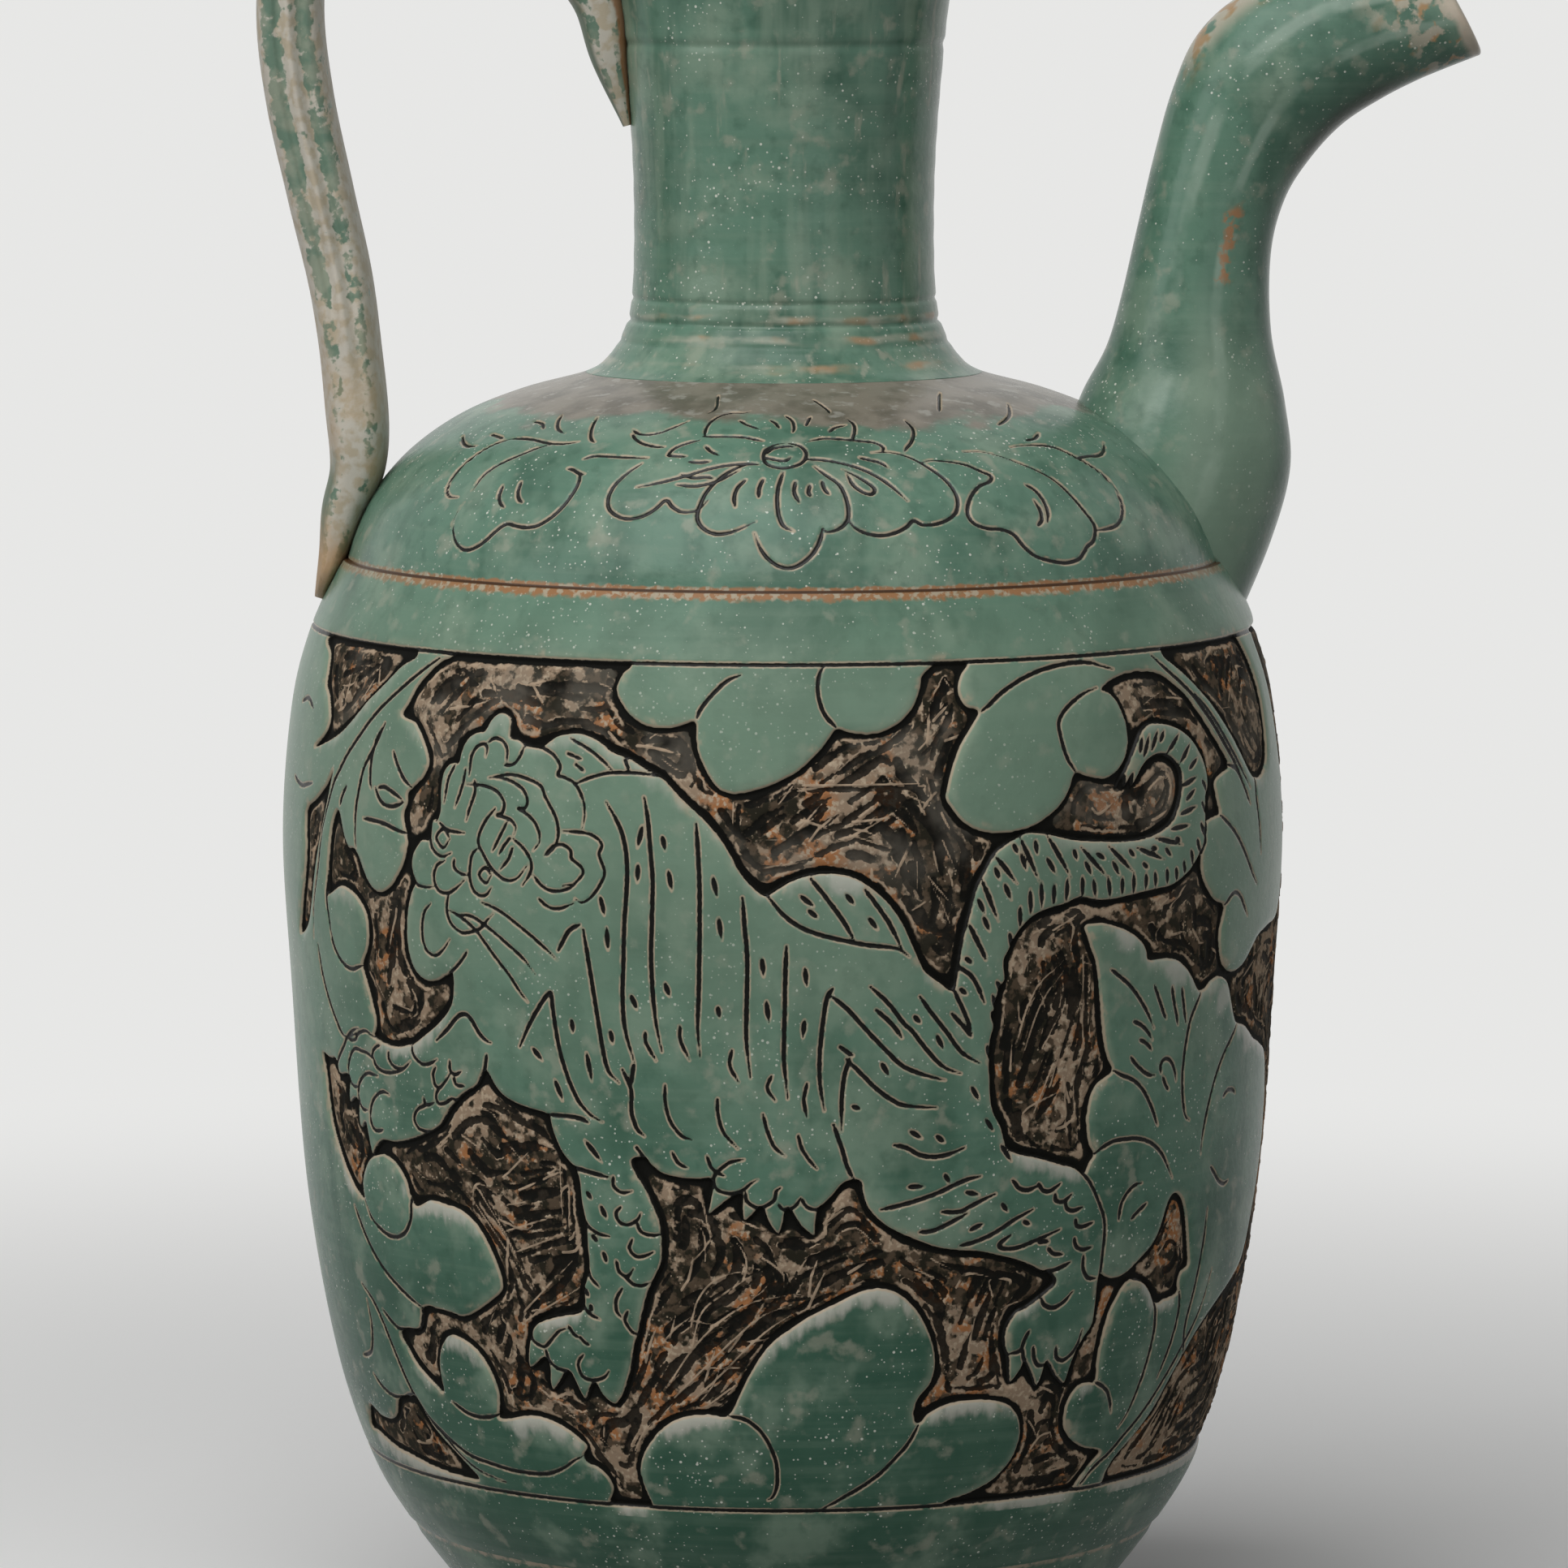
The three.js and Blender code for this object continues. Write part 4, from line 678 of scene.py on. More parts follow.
def rim_petal(s, half_width, edge, height):
    """Half an oval that stands on the band's edge."""
    angle = np.linspace(0, np.pi, 9)
    out = np.sign(edge - sum(BAND) / 2)
    start = edge + out * 2.5  # a little outside the band
    return np.stack([s + half_width * np.cos(angle), start - out * (height + 2.5) * np.sin(angle) ** 0.8], 1)


back = np.zeros_like(raised)
back_lines = []
for spec in LEAVES:
    outline, veins = leaf(*spec)
    back |= belly_sheet.filled(outline)
    back_lines += veins
for s, wide in HANGING:
    back |= belly_sheet.filled(rim_petal(s, wide, BAND[1], 13))
for s, wide in STANDING:
    back |= belly_sheet.filled(rim_petal(s, wide, BAND[0], 12))
back |= belly_sheet.filled(blossom(**BLOSSOM))
for share, lobes in ((0.7, 8), (0.42, 6), (0.17, 5)):
    inner = blossom(BLOSSOM["s"], BLOSSOM["z"], BLOSSOM["radius"] * share, lobes)
    back_lines.append(np.vstack([inner, inner[:1]]))
for notch in np.arange(BLOSSOM["lobes"]) * 2 * np.pi / BLOSSOM["lobes"]:
    ray = np.array([0.84, 0.76, 0.68]) * BLOSSOM["radius"]
    swing = notch + np.array([0, 0.05, 0.14])
    back_lines.append(np.stack([BLOSSOM["s"] + ray * np.cos(swing), BLOSSOM["z"] + ray * np.sin(swing)], 1))
BACK_FROM = 106  # mm round the belly, where the front's drawing ends
back = np.roll(back, belly_sheet.columns // 2, axis=1)
raised |= back & (np.abs(belly_sheet.s) > BACK_FROM)
raised |= (belly_sheet.z < BAND[0])[:, None] | (belly_sheet.z > BAND[1])[:, None]
print("raised in all", round(100 * raised.mean()), "%")

# %% [markdown]
# ### Cutting the lines
#
# A stroke is smoothed, and each short piece of it gets the tool's half-width there. The result is one number
# for each point of the sheet: the distance to the edge of the nearest cut, below zero inside the cut. A
# distance is smooth, so a coarse mesh can carry it and the material still finds a crisp edge.

# %% Engrave
FAR = 1.6


def pulled(count, half_width):
    """Half-widths of a long stroke: quickly full, then slowly thinner to the end."""
    t = (np.arange(count) + 0.5) / count
    return half_width * np.minimum(1, np.minimum(0.45 + 5 * t, 0.35 + 2.6 * (1 - t)))


def dabbed(count, half_width):
    """Half-widths of a dab: a sine, fattest just before the middle."""
    t = (np.arange(count) + 0.5) / count
    return half_width * np.sin(np.pi * t**0.8)


def cut(sheet, gap, strokes, half_width, shape=pulled, pieces=5, turn=0):
    """Engraves many strokes; turn moves them round the pot."""
    for stroke in strokes:
        points = pairs(stroke) if np.ndim(stroke) == 1 else np.asarray(stroke, float)
        path = smooth_line(points, pieces)
        path[:, 0] += turn
        for shift in (-2 * sheet.half, 0, 2 * sheet.half) if turn else (0,):
            sheet.engrave(gap, path + (shift, 0), shape(len(path) - 1, half_width), FAR)


line_gap = np.full(raised.shape, FAR, np.float32)
rings = [blossom(s, z, radius, 1)[::2] for s, z, radius in IRISES]
tiger_edge = pairs(TIGER)
cut(belly_sheet, line_gap, [np.vstack([tiger_edge, tiger_edge[:1]])], 0.32, pieces=3)
cut(belly_sheet, line_gap, HEAD_LINES, 0.28)
cut(belly_sheet, line_gap, [np.vstack([ring, ring[:1]]) for ring in rings], 0.28)
cut(belly_sheet, line_gap, STRIPES, 0.37)
cut(belly_sheet, line_gap, PAW_LINES + HOOKS, 0.3)
cut(belly_sheet, line_gap, DABS, 0.42, dabbed, 8)
cut(belly_sheet, line_gap, FOLIAGE_LINES, 0.34)
cut(belly_sheet, line_gap, back_lines, 0.34, turn=belly_sheet.half)
for z in BAND:
    once_round = ((-belly_sheet.half, z), (0, z), (belly_sheet.half, z))
    cut(belly_sheet, line_gap, [once_round], 0.3, np.full)
print("cut edges cover", round(100 * float((line_gap < 0).mean()), 1), "% of the sheet")

# %% [markdown]
# ### Tool marks in the ground
#
# The ground was scraped with a small loop tool, stroke beside stroke: along the outlines next to them, and in
# patches of changing direction further out. Each mark starts at its own place in the ground and follows the
# tool's way for some millimetres. Wide marks went through the slip and fired dark. Thin ones are scratches
# that catch the light.

# %% Direction of the scraping
dice = np.random.default_rng(21)
PATCH = (14.0, 12.0)  # round the pot and up it, in mm
WAYS = ((46.5, 117, 12, 74), (2.5, 155.5, 9, 28), (20.5, 149, 8, 115), (22.5, 172, 7, 62), (-13.5, 71.5, 12, 42),
        (-43, 90.5, 9, 10), (-52.5, 88.5, 6, 128))  # s, z, reach in mm and degrees, where the strokes lie plainly
s, z = np.meshgrid(belly_sheet.s, belly_sheet.z)
column = np.floor((s + 5 * np.sin(z / 9) + 3 * np.sin(s / 13 + z / 5)) / PATCH[0]).astype(int)
row = np.floor((z + 4 * np.sin(s / 11) + 3 * np.sin(s / 6 - z / 15)) / PATCH[1]).astype(int)
own_way = dice.uniform(0, np.pi, (97, 89))[column % 97, row % 89]
broad = belly_sheet.soften(raised, 2.4)
up, along = np.gradient(broad, belly_sheet.pitch)
beside = np.clip(np.hypot(up, along) / 0.1, 0, 1)
# A direction has no sign, so directions are blended as double angles.
double = (1 - beside) * np.exp(2j * own_way) + 1.4 * beside * np.exp(2j * np.arctan2(along, -up))
for at_s, at_z, reach, degrees in WAYS:
    double += 3 * np.exp(2j * np.radians(degrees) - ((s - at_s) ** 2 + (z - at_z) ** 2) / reach**2)
tool_way = (np.angle(double) / 2).astype(np.float32)
print("direction patches of", PATCH, "mm")

# %% Scrape the ground
def follow(spacing, reach, steps=7):
    """Paths that start near the points of a loose grid of this spacing in mm, go with the tool's way for up to
    reach mm, and end where the ground ends."""
    low, high = BAND[0] + 1, BAND[1] - 1
    starts = np.stack(np.meshgrid(np.arange(3 - belly_sheet.half, belly_sheet.half - 3, spacing[0]),
                                  np.arange(low, high, spacing[1])), -1).reshape(-1, 2)
    place = starts + dice.uniform(-0.5, 0.5, starts.shape) * spacing
    lengths = reach * dice.uniform(0.35, 1, len(place)) / steps
    sign, paths, open_here = np.ones(len(place)), [], np.ones(len(place), bool)
    kept = np.zeros(len(place), int)
    before = np.zeros((2, len(place)))
    for _ in range(steps):
        column, row = ((place - (belly_sheet.s[0], belly_sheet.z[0])) / belly_sheet.pitch).astype(int).T
        column, row = column.clip(0, belly_sheet.columns - 1), row.clip(0, belly_sheet.rows - 1)
        open_here &= (broad[row, column] < 0.3) & (place[:, 1] > low) & (place[:, 1] < high)
        kept += open_here
        paths.append(place.copy())
        way = np.array([np.cos(tool_way[row, column]), np.sin(tool_way[row, column])])
        sign = np.where((way * before).sum(0) < 0, -1, 1)
        before = way * sign
        place = place + (before * lengths).T
    paths = np.stack(paths, 1)
    return [paths[i, : kept[i]] for i in np.flatnonzero(kept > 2)]


def blunt(count, half_width):
    """Half-widths of a loop tool's mark: blunt where it bites, pointed where it lifts."""
    t = (np.arange(count) + 0.5) / count
    return half_width * np.minimum(1, 0.3 + 1.9 * (1 - t))


LONG_MARKS = (  # s, z, ... of pale strokes that show plainly, each with a dark one beside it
    (-20,62.5, -16,68, -11,73, -5,76.5, 4,78), (-19.5,59.8, -14,65, -8.5,70.2, -3.5,74.2, 4,77),
    (-16.5,59.2, -11.2,63.8, -6,69, -1,73, 4.2,75.8), (-13.8,58.5, -7.2,63.2),
    (-16,72, -14.5,76.8, -10.8,80.5, -3.5,82.2), (-16,68.2, -14,74.5, -9.5,78.2, -4,81.8), (-19.8,70, -18.5,74),
    (-14,95, -11.8,85.5), (-55,92.8, -49.2,85, -46.2,78.5), (-57.2,92, -51.5,85.2, -47,79.2),
    (-49,90.5, -44.2,91.5), (-49.2,86.2, -39,89.5), (-47.5,82.8, -38,86.5), (-38.2,100.2, -38,87.8),
    (-36.5,95.5, -37,86), (-56.2,89.8, -55,93.5, -50.5,92.2), (-47.2,72.5, -36.2,82.5), (-46.8,71.2, -35.8,77.5),
    (3,161.2, 21.8,161.2), (6.5,152, 11.8,153.5, 18,157), (11.8,156, 14.8,158.2), (10.5,153.2, 16.8,151),
    (25.5,152, 27.5,147.2), (23,146.2, 27.2,141.2), (-4.2,147.8, 3.8,149), (2.2,154, 6,158.2),
    (21.8,166.5, 25.5,170), (27.2,177.8, 29,175), (-8,158.5, -8.2,154.2), (23,162.2, 23.8,158.5),
    (38.8,117.8, 42,126.5, 47.5,131.2), (40.5,116.8, 43.5,124.5, 47.5,129.5), (42.5,106.2, 46.8,116),
    (48.2,111.2, 49.5,99.8), (50.2,111, 51,102.5), (51,131.8, 52.2,112), (45,136.2, 50.2,138.8),
)
scrape, scratch = np.full(raised.shape, FAR, np.float32), np.full(raised.shape, FAR, np.float32)
marks, thin_marks = follow((4.6, 2.7), 10.0), follow((7.5, 4.6), 9.0)
for path, width in zip(marks, dice.uniform(0.38, 0.8, len(marks))):
    belly_sheet.engrave(scrape, path, blunt(len(path) - 1, width), FAR)
widths, leans = dice.uniform(0.1, 0.24, len(thin_marks)), dice.normal(0, 0.5, len(thin_marks))
for path, width, lean in zip(thin_marks, widths, leans):
    turn = np.array([[np.cos(lean), np.sin(lean)], [-np.sin(lean), np.cos(lean)]])
    belly_sheet.engrave(scratch, path[0] + (path - path[0]) @ turn, blunt(len(path) - 1, width), FAR)
for stroke in LONG_MARKS:
    bends = pairs(stroke)
    path = smooth_line(bends, 6) if len(bends) > 2 else np.linspace(*bends, 6)
    belly_sheet.engrave(scratch, path, blunt(len(path) - 1, 0.15), FAR)
    belly_sheet.engrave(scrape, path + (0.8, -0.7), blunt(len(path) - 1, 0.42), FAR)
print(len(marks), "scrapes and", len(thin_marks) + len(LONG_MARKS), "scratches")

# %% [markdown]
# ### Depth
#
# Depth is built in layers. Along the silhouette of the photographed pot the ground steps in by about half a
# millimetre, and the tool went a little deeper right beside the outlines. Raised forms are rounded towards
# their edges like cushions, which is what makes the glaze shine along their upper rims. The slope up the
# pot also tells where an upper rim is: the glaze ran off there and left it pale, and a painted highlight is
# laid on it too, strongest at a few listed spots.

# %% Depth of the carving
GROUND_DEPTH = 0.5
TRENCH = 0.45  # deeper by this beside the outlines
ROUNDING = 1.1  # fall of a raised form towards its edge
LINE_DEPTH = 0.3
GLINT_SPOTS = (  # s, z and reach of painted highlights, where the glaze also ran off most
    (60, 134.5, 3.4), (72.5, 127, 3.4), (87, 121, 3), (98.5, 113, 3), (9.5, 146, 3.6), (-50.5, 52.6, 2.2),
)

edge = belly_sheet.soften(raised, 0.26)
cushion = belly_sheet.soften(raised, 1.2)
proud = blend(0.3, 0.75, edge)
marked = 0.25 * blend(0.1, -0.3, scrape) - 0.14 * blend(0.15, -0.1, scratch)
ground = GROUND_DEPTH + TRENCH * blend(0.02, 0.4, cushion) + marked
relief = -ground * (1 - proud) - ROUNDING * (1 - cushion) ** 1.5 * proud
relief -= LINE_DEPTH * blend(0.12, -0.25, line_gap)
# Pale upper rims follow the slope of the raised forms: thin glaze there, with a painted highlight.
thin_rim_and_highlight = np.clip(-6.0 * np.gradient(belly_sheet.soften(raised, 2.4), belly_sheet.pitch, axis=0), 0, 1)
glint_field = sum(np.exp(-((s - at_s) ** 2 + (z - at_z) ** 2) / reach**2) for at_s, at_z, reach in GLINT_SPOTS)
print("depth from", round(float(relief.min()), 2), "to", round(float(relief.max()), 2), "mm")

# %% [markdown]
# ## Turning the thrown walls
#
# Each thrown member is a profile turned about the pot's axis. The profile is a smooth curve through the same
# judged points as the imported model. A wall is closed: its outer face carries the detail on a fine grid, its
# inner face needs only a few rows, and flat faces join them.

# %% A mesh from arrays
def make_piece(name, points, quads, caps=(), fields=None):
    """Puts vertices (mm), four-sided faces and flat many-sided caps into a new object. Fields are numbers per
    vertex that a material can read."""
    corners = np.concatenate([np.asarray(quads).ravel(), *caps]).astype(np.int32)
    sizes = np.r_[np.full(len(quads), 4), [len(c) for c in caps]].astype(np.int32)
    mesh = bpy.data.meshes.new(name)
    mesh.vertices.add(len(points))
    mesh.vertices.foreach_set("co", (np.asarray(points) * MM).astype(np.float32).ravel())
    mesh.loops.add(len(corners))
    mesh.loops.foreach_set("vertex_index", corners)
    mesh.polygons.add(len(sizes))
    mesh.polygons.foreach_set("loop_start", np.r_[0, np.cumsum(sizes)[:-1]].astype(np.int32))
    mesh.polygons.foreach_set("use_smooth", np.arange(len(sizes)) < len(quads))
    mesh.update(calc_edges=True)
    beside = np.empty(len(corners), np.int32)
    mesh.loops.foreach_get("edge_index", beside)
    crisp = np.zeros(len(mesh.edges), bool)
    crisp[beside[4 * len(quads) :]] = True  # the rims of the flat caps
    mesh.attributes.new("sharp_edge", "BOOLEAN", "EDGE").data.foreach_set("value", crisp)
    for key, values in (fields or {}).items():
        mesh.attributes.new(key, "FLOAT", "POINT").data.foreach_set("value", np.asarray(values, np.float32).ravel())
    piece = bpy.data.objects.new(name, mesh)
    bpy.context.scene.collection.objects.link(piece)
    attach(piece, "root")
    print(name, len(points), "points,", 2 * len(quads), "triangles")
    return piece


def grid_quads(rows, columns, start=0, round_rows=False, round_columns=False):
    """Four-sided faces of a grid whose points are numbered row by row."""
    r, c = np.arange(rows if round_rows else rows - 1), np.arange(columns if round_columns else columns - 1)
    r, c = np.meshgrid(r, c, indexing="ij")
    r1, c1 = (r + 1) % rows, (c + 1) % columns
    at = lambda row, column: start + row * columns + column
    return np.stack([at(r, c), at(r, c1), at(r1, c1), at(r1, c)], -1).reshape(-1, 4)


def turn_points(radius, height, angle):
    """Radius and height to a point; the angle is 0 at the front and grows to the spout's side."""
    return np.stack([radius * np.sin(angle), -radius * np.cos(angle), height + 0 * angle], -1)


# %% [markdown]
# The carved belly is far too fine for one mesh of sensible size, so it is built in upright sectors. Each is a
# closed block of wall. The five sectors that face the viewer have the finest grid, the three at the back a
# coarser one.

# %% Carved belly
BELLY_Z, SEAM_Z = 12, 191.4
BELLY_OUTER = (  # radius and height
    (51.6, BELLY_Z), (56.8, 17.5), (65, 28.5), (70.9, 39), (76.6, 56.7), (81.4, 84.8), (83.9, 119.8), (85.2, 145),
    (83.6, 166), (80.6, 178.5), (76.2, 188.6), (74.6, SEAM_Z),
)
BELLY_INNER = (
    (45.2, BELLY_Z), (57, 28), (69, 50), (76.2, 84.8), (78.8, 119.8), (79.6, 145), (77.4, 168), (69.4, SEAM_Z),
)
SECTORS = ((-90, -54, 0.3), (-54, -18, 0.3), (-18, 18, 0.3), (18, 54, 0.3), (54, 90, 0.3),
           (90, 150, 0.45), (150, 210, 0.45), (210, 270, 0.45))  # from and to in degrees, grid in mm


def profile(points, heights):
    """Radius at the given heights, and the direction square to the profile there as (outward, upward)."""
    curve = smooth_line(points, 24)
    radius = np.interp(heights, curve[:, 1], curve[:, 0])
    slope = np.gradient(radius, heights)
    length = np.hypot(1, slope)
    return radius, 1 / length, -slope / length


def wall_block(name, angles, outer, inner, fields, low, high):
    """One sector of wall: the outer face as given, an inner face of few rows from low to high, and four flat
    caps."""
    rows, columns = outer.shape[:2]
    inner_angles = np.linspace(angles[0], angles[-1], 9)
    inner_heights = np.linspace(low, high, 25)
    inner_r = profile(inner, inner_heights)[0]
    inside = turn_points(inner_r[:, None], inner_heights[:, None], inner_angles[None, :])
    start = rows * columns
    n_rows, n_columns = inside.shape[:2]
    quads = np.vstack([grid_quads(rows, columns), grid_quads(n_rows, n_columns, start)[:, ::-1]])
    o = np.arange(start).reshape(rows, columns)
    i = start + np.arange(n_rows * n_columns).reshape(n_rows, n_columns)
    caps = [np.r_[o[::-1, 0], i[:, 0]], np.r_[o[:, -1], i[::-1, -1]],
            np.r_[o[0], i[0, ::-1]], np.r_[o[-1, ::-1], i[-1]]]
    points = np.vstack([outer.reshape(-1, 3), inside.reshape(-1, 3)])
    spare = np.zeros(inside.shape[:2])
    fields = {key: np.r_[value.ravel(), spare.ravel()] for key, value in fields.items()}
    return make_piece(name, points, quads, caps, fields)


FOOT_LINE = 27.0  # a scored ring below the band
BELLY_FIELDS = {"proud": edge, "cushion": cushion, "line": line_gap, "thin_rim_and_highlight": thin_rim_and_highlight, "glint_field": glint_field, "scrape": scrape,
                "scratch": scratch}

belly = []
for number, (start, end, pitch) in enumerate(SECTORS, 1):
    columns = int(round(np.radians(end - start) * BELLY_R / pitch)) + 1
    angles = np.radians(np.linspace(start, end, columns))
    # Fine rows only where the carving is.
    heights = np.r_[np.arange(BELLY_Z, 38.6, 1.1), np.arange(38.8, 182.2, pitch), np.linspace(182.4, SEAM_Z, 12)]
    radius, outward, upward = profile(BELLY_OUTER, heights)
    radius = radius - 0.6 * np.exp(-(((heights - FOOT_LINE) / 0.7) ** 2))
    s, z = np.meshgrid(angles * BELLY_R, heights)
    inside_band = ((heights > BAND[0] - 2) & (heights < BAND[1] + 2))[:, None]
    depth = belly_sheet.read(relief, s, z) * inside_band
    outer = turn_points(radius[:, None] + depth * outward[:, None], heights[:, None] + depth * upward[:, None],
                        angles[None, :])
    scored_line = np.minimum(np.abs(z - FOOT_LINE) - 0.3, FAR)
    fields = {key: belly_sheet.read(values, s, z) for key, values in BELLY_FIELDS.items()}
    for key, outside in (("proud", 1), ("cushion", 1), ("line", scored_line), ("thin_rim_and_highlight", 0)):
        fields[key] = np.where(inside_band, fields[key], outside)
    piece = wall_block(f"belly_wall_{number}", angles, outer, BELLY_INNER, fields, BELLY_Z, SEAM_Z)
    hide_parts("belly")
    belly.append(piece)

# %% [markdown]
# The shoulder is a dome with a flower and leaves drawn in thin cut lines only. Its sheet is unrolled along the
# dome: `s` is the angle times 60 mm, and the height on the sheet is the length `t` walked up the dome from the
# seam.

# %% Lines on the shoulder
SHOULDER_R = 60.0
SHOULDER_LINES = (
    (0.5,29.8, 2.8,28.8, 3.7,26.6, 2.8,24.4, 0.5,23.3, -1.8,23.6, -3.2,25, -3.2,27.6, -1.6,29.2, 0.5,29.8),
    (-3,26.8, -1.8,28.2, 0.3,28.8, 1.8,28.6), (-3.1,25.8, -1.5,25.3, 0.2,25, 1.2,26),
    (-0.1,22.3, -0.9,18.5, -0.9,14.5, -0.2,11.5, 1.3,10.3),
    (4.8,23.5, 6.6,21.4, 8.3,19.4, 9.1,16.5, 9.2,13.8, 8.8,12, 7.6,10.7, 6,10.2, 5.4,11),
    (5.3,10.8, 5,9, 4,6.6, 2.4,4.8, 0.8,4, -0.8,4.4, -2.4,5.9, -3.4,7.8, -4.1,10),
    (-5.6,24.2, -8,22.8, -10,20.6, -11.5,17.8, -12.2,15, -12.3,12.6, -11.3,10.8, -9.6,9.8, -7.6,10, -5.8,10.9,
     -4,12.1), (-5.9,20.4, -7,18.6, -7.3,16.6, -7,14.8), (-3.2,20.6, -3.7,18.6, -3.7,16.8),
    (1.7,20, 1.5,17.8, 2.2,15.8), (3.9,19.3, 3.6,17.9, 3.9,17), (5.8,20.1, 6,18.6, 6.6,17.4),
    (-3.9,24.1, -6,24.2, -9,23.8, -12,22.8, -15,21.3, -18,20, -20.5,19.1, -22.5,18.5),
    (-23.2,23.8, -24.8,21.6, -26.1,19, -26.5,16.5, -25.9,14.2, -24.4,12.8, -22.4,12.2, -20.3,12.8, -18.7,14.2,
     -17.4,16, -16.3,14.8, -14.8,13.8, -13,13.9, -11.9,14.8, -11,16.4), (-16,21.5, -14,20.8, -12,21, -10.8,20.7),
    (-16.2,19.2, -13.5,19, -11.3,19.6, -9.5,20.6, -7,22.6),
    (-34,24.4, -32.5,25.2, -30,25.3, -26.5,25.2, -22.6,25.2), (-35.8,22, -34.6,21.7, -33.3,21, -32.2,20.8),
    (-34.6,22, -33,20.6, -32.5,18.5, -32.8,16, -33.6,13.6, -34.9,11.6, -36.6,10.2, -38.6,9.8, -40.4,10, -42,10.2,
     -43.4,9, -45,7, -46.8,5.6, -48.6,5.2, -50.6,6.2, -52.2,8.3, -53,10.8, -52.6,13.5),
    (-52.4,16, -52.2,19, -50.8,21.5, -49,23.3, -47,25, -45,26.6, -42.6,27.9),
    (-54,28.3, -51,28.7, -48,28.6, -45,28.1, -42.5,27.9, -40,28.1, -37.6,28.7),
    (-54,28.3, -56.6,26.6, -58.4,24, -59.4,20.8, -59.5,18, -58.6,15.6, -56.8,14.4, -54.6,14.4),
    (-46.4,17.4, -46,15.4, -45,14, -43.8,13.2), (-43.2,18.4, -42.7,16.4, -41.8,15, -40.8,14.4),
    (-39.4,36.6, -38,33.5, -36.6,31, -35.4,29.5, -34.2,28.7), (-49,36.5, -47.2,34, -45,32, -42.4,30.8),
    (-53.8,33.8, -51,33.4, -48.6,31.8), (-70,27.6, -67,26.2, -64,25.4, -61,25.6), (-61,29, -58,28.6, -56,28.2),
    (-28.8,33, -27,31.8, -25,31.6, -22.8,32.4, -20.6,34.4, -18.8,36.4),
    (-28.2,31.6, -26.6,30, -24.5,28.8, -22,28.2, -20.6,28.2), (-16.6,48, -15.8,45.5, -15,43, -15,41, -16,39.4),
    (-14.2,31.4, -14.6,33.5, -14.4,36, -13.2,38.4, -11.2,39.8, -8.6,40, -7,40.6), (-8.6,36.8, -7,35.4, -4.2,33.8),
    (-2.6,37.2, -1.6,36, -0.8,34.2), (-14.6,31.4, -11,31.5, -7.5,31.4, -5,30.7, -3.6,30.2),
    (-19.4,26.2, -18.8,27.8, -17.2,29.2, -14.8,30.4), (-19.4,26, -18,25.9, -16.2,25.8),
    (-13.4,28.6, -12.4,27.4, -10.6,26.2), (-15.4,24.6, -13.6,24.4, -12,24.7),
    (3.4,25.4, 6,25.2, 9,24.4, 12,23, 14.6,20.9, 16.6,18.4, 18.2,15.8),
    (9.8,21.6, 10.4,19.4, 11.6,17.9, 13,17.3, 13.6,18.3, 12.9,19.5, 11,21.4, 9.2,22.8),
    (9,12.6, 9.8,11, 11.3,9.9, 13.3,9.4, 15.4,9.8, 17.2,10.8, 18.4,12, 19.6,11.2, 21.5,11.2, 23.6,12, 25.2,13.4,
     26,15.6, 25.9,18, 25,20.4, 23.4,22.7, 21.4,25, 19,26.5, 16.6,27, 14.6,26.8),
    (16.6,27, 17,28.4, 15.8,29.6, 13.6,30.1, 11,30.6, 7.5,31, 5.4,30.6, 4,30.1),
    (12,30.4, 13,33, 13.4,35.5, 12.6,37.6), (8.3,33, 9.6,34.4, 11.8,35.2), (0.4,38.8, 1.6,37, 1.9,34.6, 1.6,32.8),
    (4.2,35.2, 4.8,37, 5.4,38.4), (7,45.8, 8.2,43.6, 9.4,41, 9.5,39.8),
    (24.2,36.4, 24.5,34, 23.9,31.8, 22.6,29.6, 21.2,28, 20.4,27), (12.4,25.6, 14,25, 15.6,24.3, 16.6,23),
    (22.4,24.2, 24.5,24.5, 27.5,24.1, 30,23.2, 32,21.6, 33.4,20.4, 32.6,19.2, 30.6,18.4, 28.8,16.8, 27.4,14.6,
     26.9,12.6, 27.6,11, 29.4,10.1, 31.6,9.8, 33.3,8.8, 34.4,6.8, 36,5, 38.4,4, 41,3.5, 43.4,4, 44.8,5.2, 45.6,6,
     47,6.8, 48,8.4, 48.2,10, 47.4,12.5, 46.4,15.5, 45,18.6, 42.8,21, 40.2,23, 37,25.2, 34,26.3, 31,26.4),
    (48.4,8.6, 50.6,8.7, 53,9.2, 55.2,10.8, 56.8,13.4, 57.3,16.4, 56.6,19.5, 55,22, 53,24.4, 50.6,26.4, 47.5,27.1,
     44,27.3, 41,27), (37.8,10.2, 38.8,11.2, 39.2,13, 38.9,15), (38.8,18.2, 40,17, 40.6,14.8, 40.4,12.4, 39.6,10.6),
    (43.5,33.5, 47,35, 50,36.6, 53,38.8, 56,41), (34,39.6, 36.5,42.5, 39.5,45.5, 42.8,48),
    (53.6,23.2, 57,23.4, 60.5,23.3, 63.5,24.4, 66.4,26.2), (46,28.6, 48.6,29, 51,30.3),
)
DOME_LENGTH = 56.0
shoulder_sheet = Sheet(SHOULDER_R, 0, DOME_LENGTH, 0.2)
shoulder_gap = np.full((shoulder_sheet.rows, shoulder_sheet.columns), FAR, np.float32)
cut(shoulder_sheet, shoulder_gap, SHOULDER_LINES, 0.34)
cut(shoulder_sheet, shoulder_gap, SHOULDER_LINES, 0.34, turn=shoulder_sheet.half)
print("shoulder sheet", shoulder_gap.shape)

